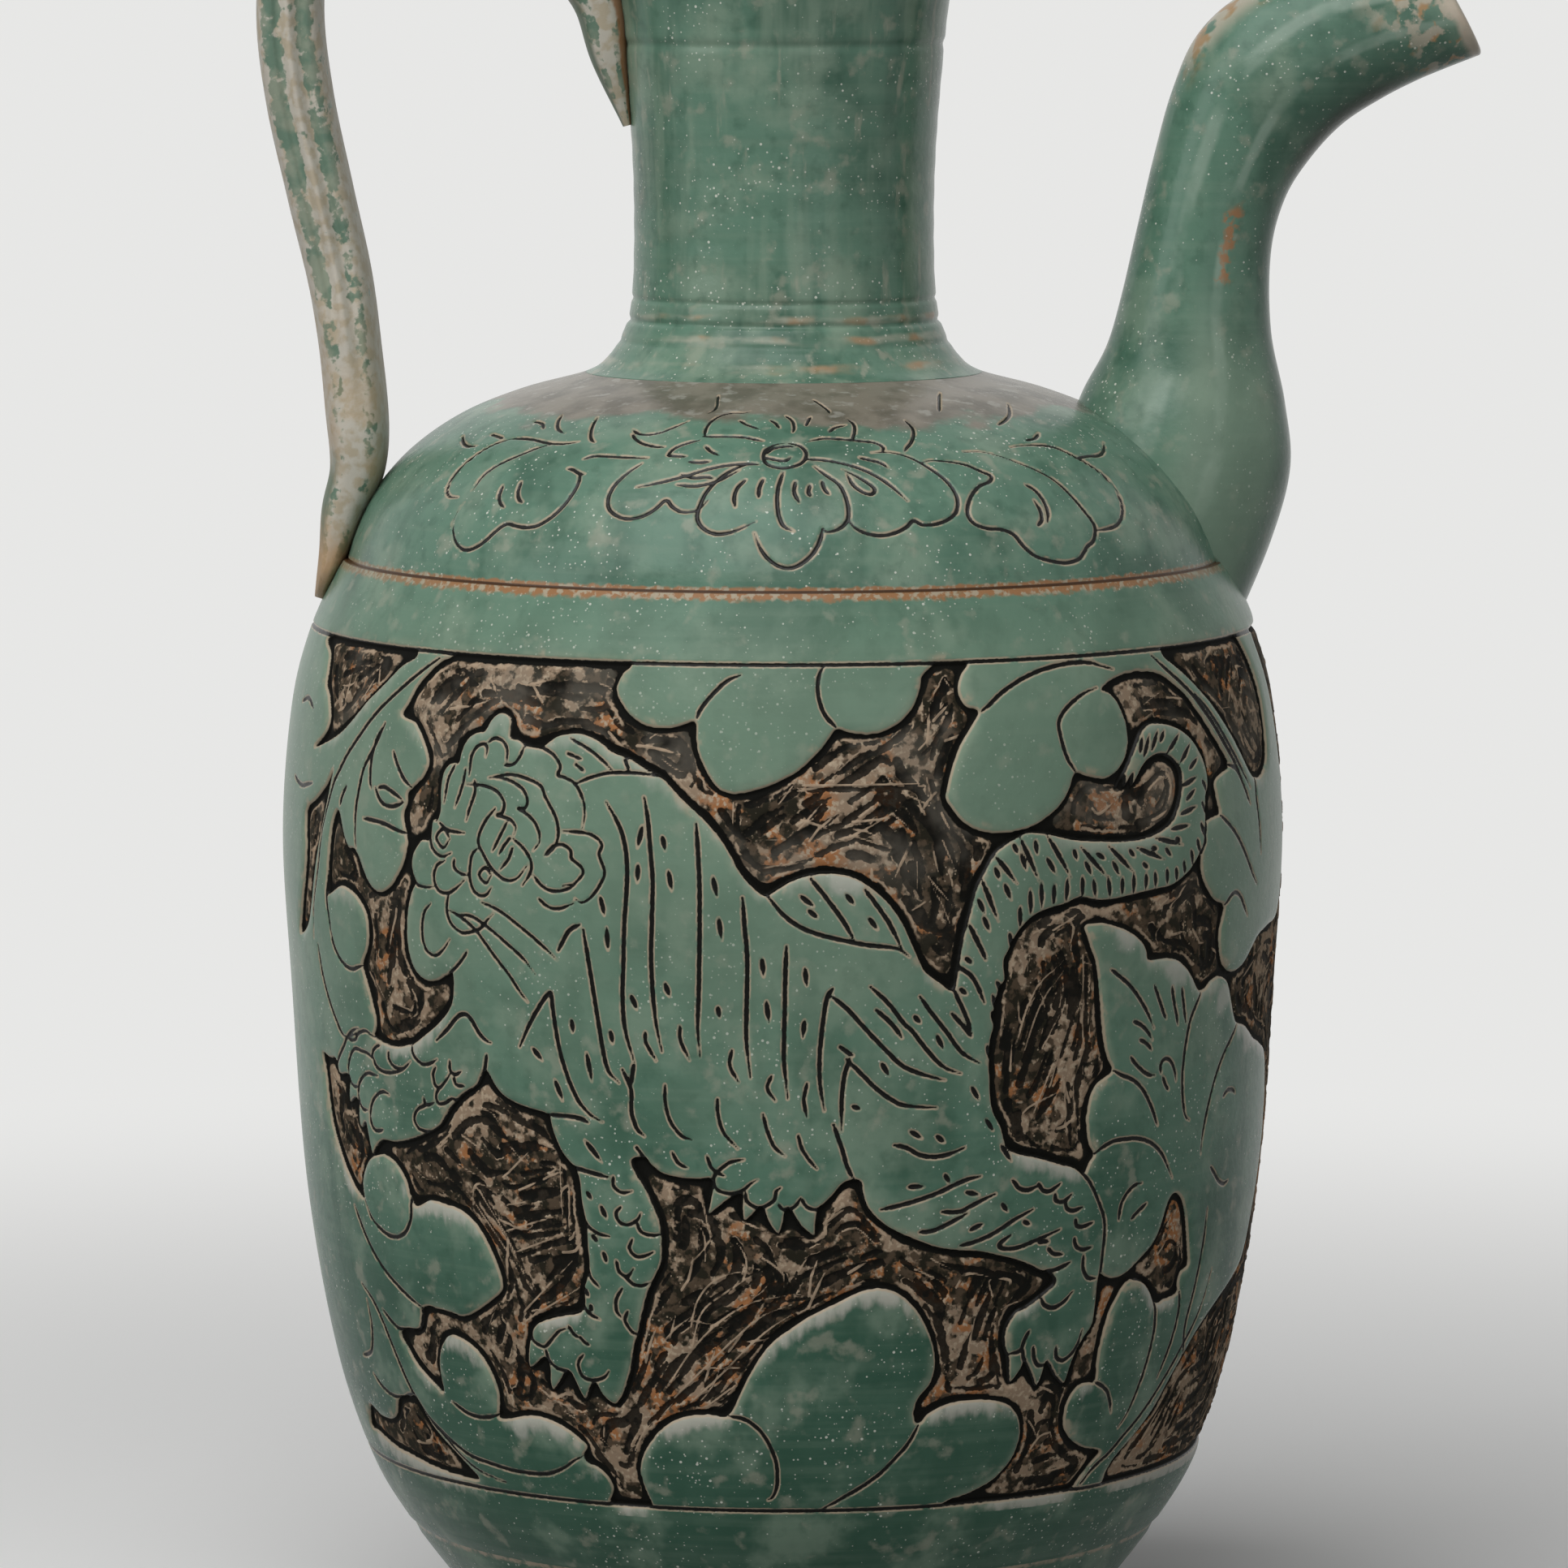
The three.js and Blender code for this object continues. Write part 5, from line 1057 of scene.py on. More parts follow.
# %% Shoulder
NECK_Z, MOUTH_Z, LIP_Z = 222.6, 286, 301.6
UPPER_OUTER = (
    (74, SEAM_Z), (72.6, 196), (69.6, 202.2), (63.4, 209.4), (54.8, 215.4), (44.8, 219.5), (33.6, NECK_Z),
    (29.6, 225.4), (27.2, 229.4), (25.9, 234), (25.4, 243), (25.5, 256), (26.3, 269), (28, MOUTH_Z), (29.4, 290.6),
    (31.6, 295), (34.4, 298.4), (35.6, 300), (35.4, 301.1), (34.2, LIP_Z), (32.8, 301.2),
)
DOME_TOP = 217.6  # of its inner face
DOME_INNER = ((69.4, SEAM_Z), (64.2, 200.2), (52, 210.4), (40, 215.2), (26.8, DOME_TOP))

upper = smooth_line(UPPER_OUTER, 24)


def part_of_upper(low, high, step):
    """The run of the upper profile between two heights, in even steps, with the direction square to it. The
    highest run goes on over the lip."""
    begin = int(np.argmax(upper[:, 1] >= low - 1e-6))
    end = int(np.argmax(upper[:, 1] >= high - 1e-6)) if high < LIP_Z else len(upper) - 1
    run = upper[begin : end + 1]
    length = np.linalg.norm(np.diff(run, axis=0), axis=1).sum()
    run = evenly(run, int(round(length / step)) + 1)
    slope = np.gradient(run, axis=0)
    slope /= np.linalg.norm(slope, axis=1, keepdims=True)
    return run, np.stack([slope[:, 1], -slope[:, 0]], 1)


dome, dome_out = part_of_upper(SEAM_Z, NECK_Z, 0.3)
dome_t = np.r_[0, np.cumsum(np.linalg.norm(np.diff(dome, axis=0), axis=1))]
shoulder = []
for name, start, end, columns in (("shoulder_front", -50, 50, 441), ("shoulder_back", 50, 310, 421)):
    angles = np.radians(np.linspace(start, end, columns))
    s, t = np.meshgrid(angles * SHOULDER_R, dome_t)
    gap = shoulder_sheet.read(shoulder_gap, s, t)
    depth = -0.35 * blend(0.12, -0.25, gap)
    outer = turn_points(dome[:, :1] + depth * dome_out[:, :1], dome[:, 1:] + depth * dome_out[:, 1:], angles[None, :])
    piece = wall_block(name, angles, outer, DOME_INNER, {"line": gap, "walked": t}, SEAM_Z, DOME_TOP)
    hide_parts("shoulder")
    shoulder.append(piece)

# %% [markdown]
# Neck, mouth and foot ring go once round the axis as closed loops: up the outside, over, and down inside. On
# the wheel the fingers leave shallow rings on the neck, and two scored lines mark its foot and its top.

# %% Neck, mouth and foot ring
NECK_INNER = ((26.8, NECK_Z), (23.4, 226.5), (21.6, 233), (20.9, 243), (21, 256), (22, 270), (23.5, MOUTH_Z))
MOUTH_INNER = ((23.5, MOUTH_Z), (25.2, 291.4), (28.2, 296.6), (31.8, 300))
SCORED_RINGS = ((231.6, 0.5, 0.45), (235.2, 0.45, 0.3), (228, 0.6, 0.2), (278, 0.8, 0.3))  # height, width, depth
FOOT_LOOP = ((45.4, 0), (46.6, 0.4), (47, 1.6), (46.8, 6), (46, 9), (41, 9), (40, 8), (40.2, 4), (40.6, 1), (41.6, 0))


def turned_loop(name, loop, columns):
    """A closed outline of radius and height turned once round, as a ring-shaped surface."""
    angles = np.linspace(0, 2 * np.pi, columns, endpoint=False)[None, :]
    points = turn_points(loop[:, :1], loop[:, 1:], angles)
    return make_piece(name, points.reshape(-1, 3), grid_quads(len(loop), columns, 0, True, True))


def scored(run, out, lines):
    """Lets grooves into a run of profile points: each is a bell of its width and depth about its height."""
    depth = sum(d * np.exp(-(((run[:, 1] - z) / w) ** 2)) for z, w, d in lines)
    return run - out * depth[:, None]


neck_run, neck_out = part_of_upper(NECK_Z, MOUTH_Z, 0.35)
fingers = [(z, 1.6, 0.07) for z in np.arange(240, 284, 5.2)]
neck_run = scored(neck_run, neck_out, [*SCORED_RINGS, *fingers])
mouth_run = part_of_upper(MOUTH_Z, LIP_Z, 0.35)[0]
neck = turned_loop("neck_wall", np.vstack([neck_run, smooth_line(NECK_INNER, 4)[::-1]]), 240)
mouth = turned_loop("mouth_rim", np.vstack([mouth_run, smooth_line(MOUTH_INNER, 5)[::-1]]), 240)
foot = turned_loop("foot_turned", smooth_line(FOOT_LOOP, 4, closed=True), 160)
for piece, node in ((neck, "neck"), (mouth, "mouth"), (foot, "foot_ring")):
    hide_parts(node)

# %% [markdown]
# ## Spout and handle
#
# Both are sweeps: a section carried along a path. The spout is an oval whose two edges in the picture plane
# are drawn directly, as the potter would look at it from the side. At its root each line of the skin starts
# 1 mm inside the pot's wall, found by walking along it until it leaves the wall.

# %% Spout
SPOUT_RIBS = (  # back x, z; front x, z; width across
    (45, 207, 76, 178, 35), (48.6, 214.6, 82.6, 194, 35.4), (50.9, 220, 85.8, 206.4, 33.4),
    (54.6, 227, 84.8, 217.6, 28.6), (57, 235.2, 82.4, 229.6, 24.6), (59.6, 246.6, 82.3, 242.6, 22.4),
    (62.4, 258.8, 84.6, 251.8, 22.2), (65.4, 269.8, 88.8, 258.6, 23.2), (69.4, 279, 94.2, 264.4, 24),
    (76.2, 285.6, 100.6, 268.6, 23.6), (86.4, 290.2, 106.4, 271.6, 22), (97.4, 291.8, 111.6, 273.8, 19.6),
    (108.4, 291.6, 117, 275.9, 17.4),
)
SPOUT_WALL = (5, 4.6, 3, 2.6)  # thickness from the root to the tip

ribs = smooth_line(SPOUT_RIBS, 40)
walls = np.interp(np.linspace(0, 1, len(ribs)), np.linspace(0, 1, len(SPOUT_WALL)), SPOUT_WALL)
around = np.linspace(0, 2 * np.pi, 96, endpoint=False)


def oval(rib, inset):
    """Points of one oval rib: its middle, plus half the back-to-front line times the cosine, plus half the
    width times the sine, each shortened by the inset."""
    back, front, wide = rib[..., 0:2], rib[..., 2:4], rib[..., 4]
    middle, half = (back + front) / 2, (front - back) / 2
    reach = np.linalg.norm(half, axis=-1)
    half = half * ((reach - inset) / reach)[..., None]
    c, n = np.cos(around), np.sin(around)
    return np.stack([middle[..., None, 0] + half[..., None, 0] * c, (wide / 2 - inset)[..., None] * n,
                     middle[..., None, 1] + half[..., None, 1] * c], -1)


body_curve = np.vstack([smooth_line(BELLY_OUTER, 12), upper[1:]])
body_curve = body_curve[body_curve[:, 1] < 296]  # up to the mouth, where it would turn back


def from_root(skin, sink, count):
    """Each line of the skin, cut off where it leaves the pot's wall less sink, read at count even places."""
    radius = np.interp(skin[..., 2], body_curve[:, 1], body_curve[:, 0]) - sink
    out = np.hypot(skin[..., 0], skin[..., 1]) > radius
    first = skin.shape[0] - 1 - np.argmax(~out[::-1], axis=0)
    share = np.linspace(0, 1, count)[:, None]
    place = first[None, :] * (1 - share) + (skin.shape[0] - 1) * share
    low = np.minimum(np.floor(place).astype(int), skin.shape[0] - 2)
    part = (place - low)[..., None]
    line = np.arange(skin.shape[1])[None, :]
    return skin[low, line] * (1 - part) + skin[low + 1, line] * part


outer_skin = from_root(oval(ribs, np.zeros(len(ribs))), 1.0, 150)
bore_skin = from_root(oval(ribs, walls), 1.0, 60)
tip_way = (ribs[-1, 0:2] + ribs[-1, 2:4] - ribs[-4, 0:2] - ribs[-4, 2:4]) / 2
tip_way /= np.linalg.norm(tip_way)
turn = np.linspace(0, np.pi, 9)[1:-1]
lip_insets = SPOUT_WALL[-1] / 2 * (1 - np.cos(turn))
lip = np.stack([oval(ribs[-1:], np.array([inset]))[0] for inset in lip_insets])
lip += (0.9 * np.sin(turn))[:, None, None] * np.array([tip_way[0], 0, tip_way[1]])
spout_points = np.vstack([outer_skin, lip, bore_skin[::-1]])
along = np.r_[np.linspace(0, 1, len(outer_skin)), np.ones(len(lip)), np.linspace(1, 0, len(bore_skin))]
rows = len(spout_points)
flank = np.broadcast_to(np.cos(around)[None, :], (rows, len(around)))
quads = grid_quads(rows, len(around), 0, True, True)[:, ::-1]
spout = make_piece("spout_skin", spout_points.reshape(-1, 3), quads,
                   fields={"along": np.broadcast_to(along[:, None], flank.shape), "flank": flank})
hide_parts("spout")

# %% [markdown]
# The handle is a pulled strap. Its section has a rib along the middle of each side, the mark of the thumb and
# fingers that pulled it, and it is thinner where it is pressed on to the shoulder and the neck.

# %% Handle
HANDLE_LINE = (  # x and z of the strap's middle, from the shoulder to the neck
    (-78.8, 184.2), (-76.3, 192.2), (-74.6, 199.3), (-72.2, 206.8), (-72.4, 217), (-74.6, 236), (-78.2, 252.5),
    (-81.7, 269), (-83.2, 284), (-81.4, 299), (-74.6, 309.4), (-63.4, 313.6), (-51.8, 310.2), (-42.6, 301.2),
    (-35.9, 292.3), (-31.2, 285), (-29.3, 275.4), (-26.4, 264.2),
)
HANDLE_THICKNESS = (1.8, 7.2, 10.2, 10.3, 10.8, 11.1, 11.3, 11.2, 10.8, 10.6, 10.4, 10.1, 9.5, 7.4, 1.6)
HANDLE_WIDTH = (15, 20.5, 24, 23, 20.6, 19.6, 19, 18.6, 18.4, 18.2, 18, 17.6, 16.6, 14.4, 7)
STRAP_QUARTER = ((1, 0), (0.98, 0.42), (0.84, 0.76), (0.56, 0.9), (0.3, 0.86), (0, 1))
STATIONS = 420
TONGUE = 0.03  # share of the strap in which its low end rounds off

strap_half = [*STRAP_QUARTER, *[(-u, v) for u, v in STRAP_QUARTER[-2::-1]]]
strap = smooth_line([*strap_half, *[(u, -v) for u, v in strap_half[-2:0:-1]]], 6, closed=True)
line = evenly(smooth_line(HANDLE_LINE, 30), STATIONS)
way = np.gradient(line, axis=0)
way /= np.linalg.norm(way, axis=1, keepdims=True)
where = np.linspace(0, 1, STATIONS)


def graded(values):
    """Evenly spaced values, smoothed and read at each station."""
    curve = smooth_line(np.stack([np.linspace(0, 1, len(values)), values], 1), 12)
    return np.interp(where, curve[:, 0], curve[:, 1])


thick, wide = graded(HANDLE_THICKNESS) / 2, graded(HANDLE_WIDTH) / 2
wide *= np.sqrt(np.clip(1 - (1 - where / TONGUE).clip(0) ** 2, 0.02, 1))
u, v = strap[None, :, 0], strap[None, :, 1]
flat = (blend(0.32, 0.12, where) + blend(0.82, 0.9, where))[:, None]
filled = 1 - flat + flat / np.cbrt(np.abs(u) ** 3 + np.abs(v) ** 3)  # both ends have no hollows
u, v = u * filled, v * filled
x = line[:, :1] + way[:, 1:] * thick[:, None] * u
z = line[:, 1:] - way[:, :1] * thick[:, None] * u
y = wide[:, None] * v
waver = 0.12 * np.sin(where * 61)[:, None] + 0.1 * np.sin(where * 23 + 1)[:, None]
points = np.stack([x, y * (1 + waver / 9), z], -1)
quads = grid_quads(STATIONS, len(strap), 0, False, True)
last = (STATIONS - 1) * len(strap) + np.arange(len(strap))
caps = [np.arange(len(strap))[::-1], last]
handle = make_piece("handle_strap", points.reshape(-1, 3), quads, caps,
                    {"along": np.broadcast_to(where[:, None], x.shape), "face": u})
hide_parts("handle")

# %% [markdown]
# ## Finishes
#
# The glaze is a thin green glass over pale slip over brown clay. It is paler where it is thin, deeper where it
# pools, and pricked with white pinholes. Where a cut goes through it the clay fires almost black, with a cream
# fringe of slip. All of this is painted by position, and by the distances that the meshes carry.

# %% Glaze recipe
GREEN = {"deep": (0.028, 0.086, 0.055), "mid": (0.112, 0.214, 0.152), "thin": (0.225, 0.310, 0.230)}
CREAM, TAN, ORANGE = (0.44, 0.35, 0.25), (0.30, 0.22, 0.15), (0.34, 0.15, 0.06)
INK, UMBER, RIDGE = (0.004, 0.004, 0.003), (0.084, 0.060, 0.039), (0.44, 0.33, 0.23)
# Bloom is pale patches in the glaze, which also serve as painted glints.
SPECK, BLOOM_AND_GLINT = (0.62, 0.64, 0.56), (0.33, 0.335, 0.26)


class Finish(Recipe):
    """A material with a Principled shader, and the patterns that several finishes share."""

    def __init__(self, name):
        self.material = bpy.data.materials.new(name)
        self.material.use_nodes = True
        super().__init__(self.material.node_tree)
        self.shader = self.tree.nodes["Principled BSDF"]
        self.place = self.tree.nodes.new("ShaderNodeTexCoord").outputs["Object"]
        self.height = self.add("ShaderNodeSeparateXYZ", {0: self.place}, "Z")

    def field(self, name):
        """The numbers that a mesh carries under this name."""
        return self.add("ShaderNodeAttribute", output="Fac", attribute_name=name)

    def cloud(self, size, detail=2.0, stretch=(1, 1, 1), shift=0.0):
        """Soft noise with blotches of this size in mm; stretch above 1 squeezes them along that axis."""
        node = self.tree.nodes.new("ShaderNodeMapping")
        self.feed(node.inputs["Vector"], self.place)
        node.inputs["Scale"].default_value = stretch
        node.inputs["Location"].default_value = (shift, shift, 0)
        return self.add("ShaderNodeTexNoise", {"Vector": node.outputs[0], "Scale": 1000 / size, "Detail": detail})

    def patches(self, size, low, high, *detail, **place):
        """Share of scattered patches: that soft noise, 0 below low and 1 above high."""
        return self.step(self.cloud(size, *detail, **place), low, high)

    def dots(self, spacing):
        """Distance to the nearest of many scattered points, in cells of this spacing in mm."""
        return self.add("ShaderNodeTexVoronoi", {"Vector": self.place, "Scale": 1000 / spacing})

    def both(self, *shares):
        """Shares multiplied together."""
        result = shares[0]
        for share in shares[1:]:
            result = self.math("MULTIPLY", result, share)
        return result

    def ragged(self, value, size, amount):
        """The value with noise of this blotch size added, up to about a third of amount either way."""
        return self.math("ADD", value, self.both(self.math("SUBTRACT", self.cloud(size, 4), 0.5), amount))

    def coat(self, colour, paint, *shares):
        """The colour with paint over it, as much as the shares multiplied together say."""
        return self.mix(self.both(*shares), colour, paint)

    def apart(self, value, middle):
        """How far the value lies from the middle, on either side."""
        return self.math("ABSOLUTE", self.math("SUBTRACT", value, middle))

    def scored_seam(self, colour, rim, cut, low):
        """The seam between belly and shoulder: rims worn to cream and orange, most towards the front, and a
        dark cut."""
        worn_edge = self.mix(self.patches(1.2, low, low + 0.12, 4, shift=0.5), ORANGE, CREAM)
        across = self.add("ShaderNodeSeparateXYZ", {0: self.place}, "X")
        front = self.step(self.math("ABSOLUTE", across), 0.1, 0.05)
        colour = self.coat(colour, worn_edge, rim, self.patches(9, 0.26, 0.42, 4), front, 0.85)
        return self.mix(cut, colour, (0.06, 0.028, 0.012))

    def glaze(self):
        """Green glaze: mid tone, clouds of deep and thin glaze, deeper towards the foot where it ran and as a painted
        shade, faint throwing lines, pale bloom patches that also serve as painted glints, and white pinholes that
        come in swarms."""
        tone = self.coat(GREEN["mid"], GREEN["deep"], self.patches(22, 0.46, 0.66, 3), 0.6)
        # Deeper green towards the foot: glaze that ran, and painted shade.
        tone = self.coat(tone, GREEN["deep"], self.step(self.ragged(self.height, 25, 0.05), 0.125, 0.035), 0.8)
        tone = self.coat(tone, GREEN["thin"], self.patches(12, 0.48, 0.66, 4, shift=0.7), 0.6)
        tone = self.coat(tone, GREEN["thin"], self.patches(14, 0.45, 0.7, 4, (0.25, 0.25, 8)), 0.16)
        tone = self.coat(tone, GREEN["deep"], self.patches(7, 0.5, 0.72, 3, (1, 1, 0.2)), 0.35)
        tone = self.coat(tone, GREEN["deep"], self.patches(3.2, 0.48, 0.75, 4, shift=0.3), 0.4)
        # Pale bloom patches, which also serve as painted glints.
        tone = self.coat(tone, BLOOM_AND_GLINT, self.patches(4.5, 0.57, 0.72, 5, shift=1.3), 0.5)
        swarm = self.patches(14, 0.3, 0.66, 3, shift=0.2)
        pin = self.step(self.math("SUBTRACT", self.dots(1.9), self.both(swarm, 0.08)), 0.07, 0.02)
        fleck = self.step(self.math("SUBTRACT", self.dots(1.0), self.both(swarm, 0.14)), 0.05, -0.02)
        tone = self.coat(tone, SPECK, fleck, 0.75)
        return self.coat(tone, SPECK, pin, 0.9)

    def finish(self, colour, roughness, bump=None, depth=0.0001, shine=0.22):
        """Feeds the shader and hands back the material. The bump's depth is in metres."""
        self.feed(self.shader.inputs["Base Color"], colour)
        self.feed(self.shader.inputs["Roughness"], roughness)
        self.shader.inputs["Specular IOR Level"].default_value = shine
        if bump is not None:
            normal = self.add("ShaderNodeBump", {"Height": bump, "Distance": depth, "Strength": 0.6})
            self.feed(self.shader.inputs["Normal"], normal)
        return self.material


def dress(material, *pieces):
    """Gives the pieces this material in place of any other."""
    for piece in pieces:
        piece.data.materials.clear()
        piece.data.materials.append(material)


# %% [markdown]
# On the belly the finish follows the fields of the sheet. The upper belly is paler, from thinner glaze and
# a painted light from above. Upper rims of the raised forms are pale from thin glaze and a painted highlight,
# a thin broken line of cream runs along every edge and cut, and the cuts are black. The ground is black beside
# the outlines, dark clay with a painted shade of the deeper cut there. Further in, clay shows brown, tan and
# orange along the tool's way, with thin pale ridges, and a painted grey glare lies over the upper ground.

# %% Carved belly finish
carved = Finish("carved_glaze")
line_field = carved.ragged(carved.field("line"), 0.9, 0.26)
proud_field, cushion_field = carved.field("proud"), carved.field("cushion")
# Paler green on the upper belly: thinner glaze, and painted light from above.
thin_glaze_and_top_light = carved.both(carved.step(carved.ragged(carved.height, 16, 0.06), 0.09, 0.15),
                        carved.step(carved.height, 0.2, 0.172), 0.6)
colour = carved.mix(thin_glaze_and_top_light, carved.glaze(), (0.200, 0.285, 0.208))
drawn_back, blushing = carved.step(cushion_field, 0.985, 0.72), carved.step(cushion_field, 0.97, 0.75)
colour = carved.coat(colour, (0.26, 0.325, 0.235), drawn_back, carved.patches(5, 0.36, 0.6, 4, shift=0.3), 0.5)
colour = carved.coat(colour, (0.42, 0.35, 0.25), blushing, carved.patches(3.5, 0.56, 0.68, 4, shift=1.1), 0.6)
# Pale upper rims: thin glaze with a painted highlight, stronger low on the belly.
run_off_and_highlight = carved.math("ADD", carved.field("thin_rim_and_highlight"), carved.math("SUBTRACT", carved.cloud(1.8, 4, (1, 1, 0.45)), 0.5))
low_down = carved.math("ADD", carved.both(carved.step(carved.height, 0.145, 0.1), 0.5), 0.35)
colour = carved.coat(colour, (0.46, 0.45, 0.39), carved.step(run_off_and_highlight, 0.44, 0.95), low_down)
# Painted highlights: pale spots at the listed places on the upper rims.
glint_share = carved.step(carved.ragged(carved.field("glint_field"), 2.5, 0.8), 0.3, 0.85)
colour = carved.coat(colour, (0.46, 0.46, 0.40), glint_share, 0.7)
broken = carved.patches(2.5, 0.3, 0.55, 3, shift=0.9)
fringe = carved.both(carved.step(line_field, 0.34, 0.16), broken)
rim = carved.both(carved.step(proud_field, 0.985, 0.85), carved.patches(4, 0.24, 0.45, 3))
colour = carved.coat(colour, CREAM, carved.math("MAXIMUM", fringe, rim), 0.8)

scrape_field = carved.ragged(carved.ragged(carved.field("scrape"), 0.7, 0.7), 4, 1.1)
scratch_field = carved.ragged(carved.field("scratch"), 0.8, 0.14)
trench = carved.ragged(carved.ragged(cushion_field, 0.9, 0.14), 7, 0.42)
tint = carved.mix(carved.patches(9, 0.5, 0.58, 3), TAN, ORANGE)
tint = carved.mix(carved.patches(0.8, 0.5, 0.64, 4, shift=0.4), tint, CREAM)
flakes = carved.math("ADD", carved.cloud(2.2, 5, shift=0.1), carved.both(carved.cloud(17, 2), 0.9))
ground = carved.mix(carved.patches(1.6, 0.4, 0.56, 5, shift=0.8), UMBER, (0.018, 0.016, 0.010))
grit = carved.math("SUBTRACT", carved.dots(0.9), carved.both(carved.patches(5, 0.4, 0.65, 3), 0.2))
ground = carved.coat(ground, CREAM, carved.step(grit, 0.04, -0.04), 0.7)
ground = carved.mix(carved.step(flakes, 0.93, 1.03), ground, tint)
ground = carved.coat(ground, INK, carved.step(scrape_field, 0.05, -0.06), 0.94)
# A grey film over the upper ground: painted glare.
painted_glare = carved.both(carved.patches(10, 0.42, 0.62, 3, shift=0.4), carved.step(carved.height, 0.13, 0.155), 0.3)
ground = carved.mix(painted_glare, ground, (0.21, 0.19, 0.155))
lip = carved.both(carved.step(scrape_field, 0.3, 0.2), carved.step(scrape_field, 0.0, 0.06),
                  carved.patches(3.4, 0.6, 0.66, 3, shift=0.5))
bank = carved.both(carved.step(trench, 0.08, 0.11), carved.step(trench, 0.19, 0.15),
                   carved.patches(5, 0.52, 0.58, 4, shift=0.2))
thin = carved.both(carved.step(scratch_field, 0.05, -0.03), carved.patches(3, 0.32, 0.44, 3, shift=0.6))
ridges = carved.math("MAXIMUM", lip, carved.math("MAXIMUM", bank, thin))
ground = carved.coat(ground, RIDGE, ridges, 0.85)
# Black beside the outlines: dark clay, with painted shade of the deeper cut there.
ground = carved.mix(carved.step(trench, 0.185, 0.235), ground, INK)
colour = carved.mix(carved.step(proud_field, 0.66, 0.54), colour, ground)
cut_share = carved.both(carved.step(line_field, 0.06, -0.05), carved.step(proud_field, 0.3, 0.5))
colour = carved.mix(cut_share, colour, INK)
seam_rim = carved.step(carved.ragged(carved.height, 1.6, 0.0022), 0.1898, 0.1906)
colour = carved.scored_seam(colour, seam_rim, carved.step(carved.height, 0.1911, 0.1913), 0.48)
bare = carved.step(carved.ragged(carved.height, 20, 0.006), 0.0185, 0.0175)
colour = carved.mix(bare, colour, (0.2, 0.125, 0.07))
dull = carved.math("MAXIMUM", carved.step(proud_field, 0.7, 0.5), bare)
roughness = carved.add("ShaderNodeMapRange", {"Value": dull, "To Min": 0.27, "To Max": 0.85})
dress(carved.finish(colour, roughness, carved.cloud(1.3, 3), shine=0.1), *belly)

# %% [markdown]
# The shoulder's glaze turned brown-grey in a ring round the neck, where the fire touched it, and pale streaks on
# the ring are a painted sheen. Its lower border is ragged. The neck is worn pale and brown along its scored rings,
# and the lip shows cream. On the spout, pale streaks are thin glaze with a painted sheen, painted shade darkens
# its outer side and the underside of the bend, and painted light brightens the bulge at its root.

# %% Shoulder, neck, mouth and spout finish
drawn = Finish("drawn_glaze")
walked = drawn.field("walked")
line_field = drawn.ragged(drawn.field("line"), 0.9, 0.16)
smoke_and_sheen = drawn.mix(drawn.patches(7, 0.4, 0.65, 4, shift=0.6), (0.225, 0.190, 0.152), (0.125, 0.102, 0.078))
# Pale streaks over the brown-grey ring: painted sheen.
smoke_and_sheen = drawn.coat(smoke_and_sheen, (0.37, 0.35, 0.31), drawn.patches(3, 0.56, 0.68, 4, (1, 1, 3), shift=0.2), 0.6)
colour = drawn.coat(drawn.glaze(), smoke_and_sheen, drawn.step(drawn.ragged(walked, 13, 24), 35, 38.5), 0.9)
colour = drawn.coat(colour, CREAM, drawn.step(line_field, 0.38, 0.12), drawn.patches(2.5, 0.34, 0.56, 3), 0.8)
colour = drawn.mix(drawn.step(line_field, 0.03, -0.08), colour, INK)
seam_rim = drawn.step(drawn.ragged(walked, 1.6, 1.4), 0.95, 0.5)
colour = drawn.scored_seam(colour, seam_rim, drawn.step(walked, 0.32, 0.14), 0.5)
dress(drawn.finish(colour, 0.27, drawn.cloud(1.3, 3)), *shoulder)

thrown = Finish("thrown_glaze")
colour = thrown.coat(thrown.glaze(), GREEN["thin"], thrown.patches(5, 0.5, 0.7, 3, (1, 1, 0.12)), 0.55)
# Pale bloom streaks, which also serve as painted glints.
colour = thrown.coat(colour, BLOOM_AND_GLINT, thrown.patches(3, 0.6, 0.72, 4, (1, 1, 0.25), shift=0.6), 0.6)
RUBBED_RINGS = (0.2326, 0.2293, 0.2246)
rubbed = 0.0
for z in RUBBED_RINGS:
    off = thrown.apart(thrown.ragged(thrown.height, 10, 0.0015), z)
    rubbed = thrown.math("MAXIMUM", rubbed, thrown.step(off, 0.0010, 0.0002))
worn_edge = thrown.mix(thrown.patches(7, 0.5, 0.64, 3, shift=0.9), (0.36, 0.37, 0.29), (0.40, 0.25, 0.14))
rubbed_places = thrown.patches(7, 0.4, 0.64, 5, (0.6, 0.6, 1.5), shift=0.2)
colour = thrown.coat(colour, worn_edge, rubbed, rubbed_places, 0.8)
colour = thrown.coat(colour, CREAM, thrown.step(thrown.height, 0.3005, 0.3012), 0.7)
dress(thrown.finish(colour, 0.25, thrown.cloud(1.3, 3)), neck, mouth)

poured = Finish("spout_glaze")
along_field, flank_field = poured.field("along"), poured.field("flank")
colour = poured.mix(0.1, poured.glaze(), GREEN["deep"])
# Two pale streaks along the spout: thin glaze with a painted sheen.
for middle, half in ((-0.37, 0.13), (0.24, 0.11)):
    off = poured.apart(poured.ragged(flank_field, 12, 0.2), middle)
    thin_glaze_and_sheen = poured.both(poured.step(off, half, half * 0.3), poured.patches(11, 0.36, 0.6, 3, shift=middle))
    colour = poured.coat(colour, (0.27, 0.36, 0.29), thin_glaze_and_sheen, 0.6)
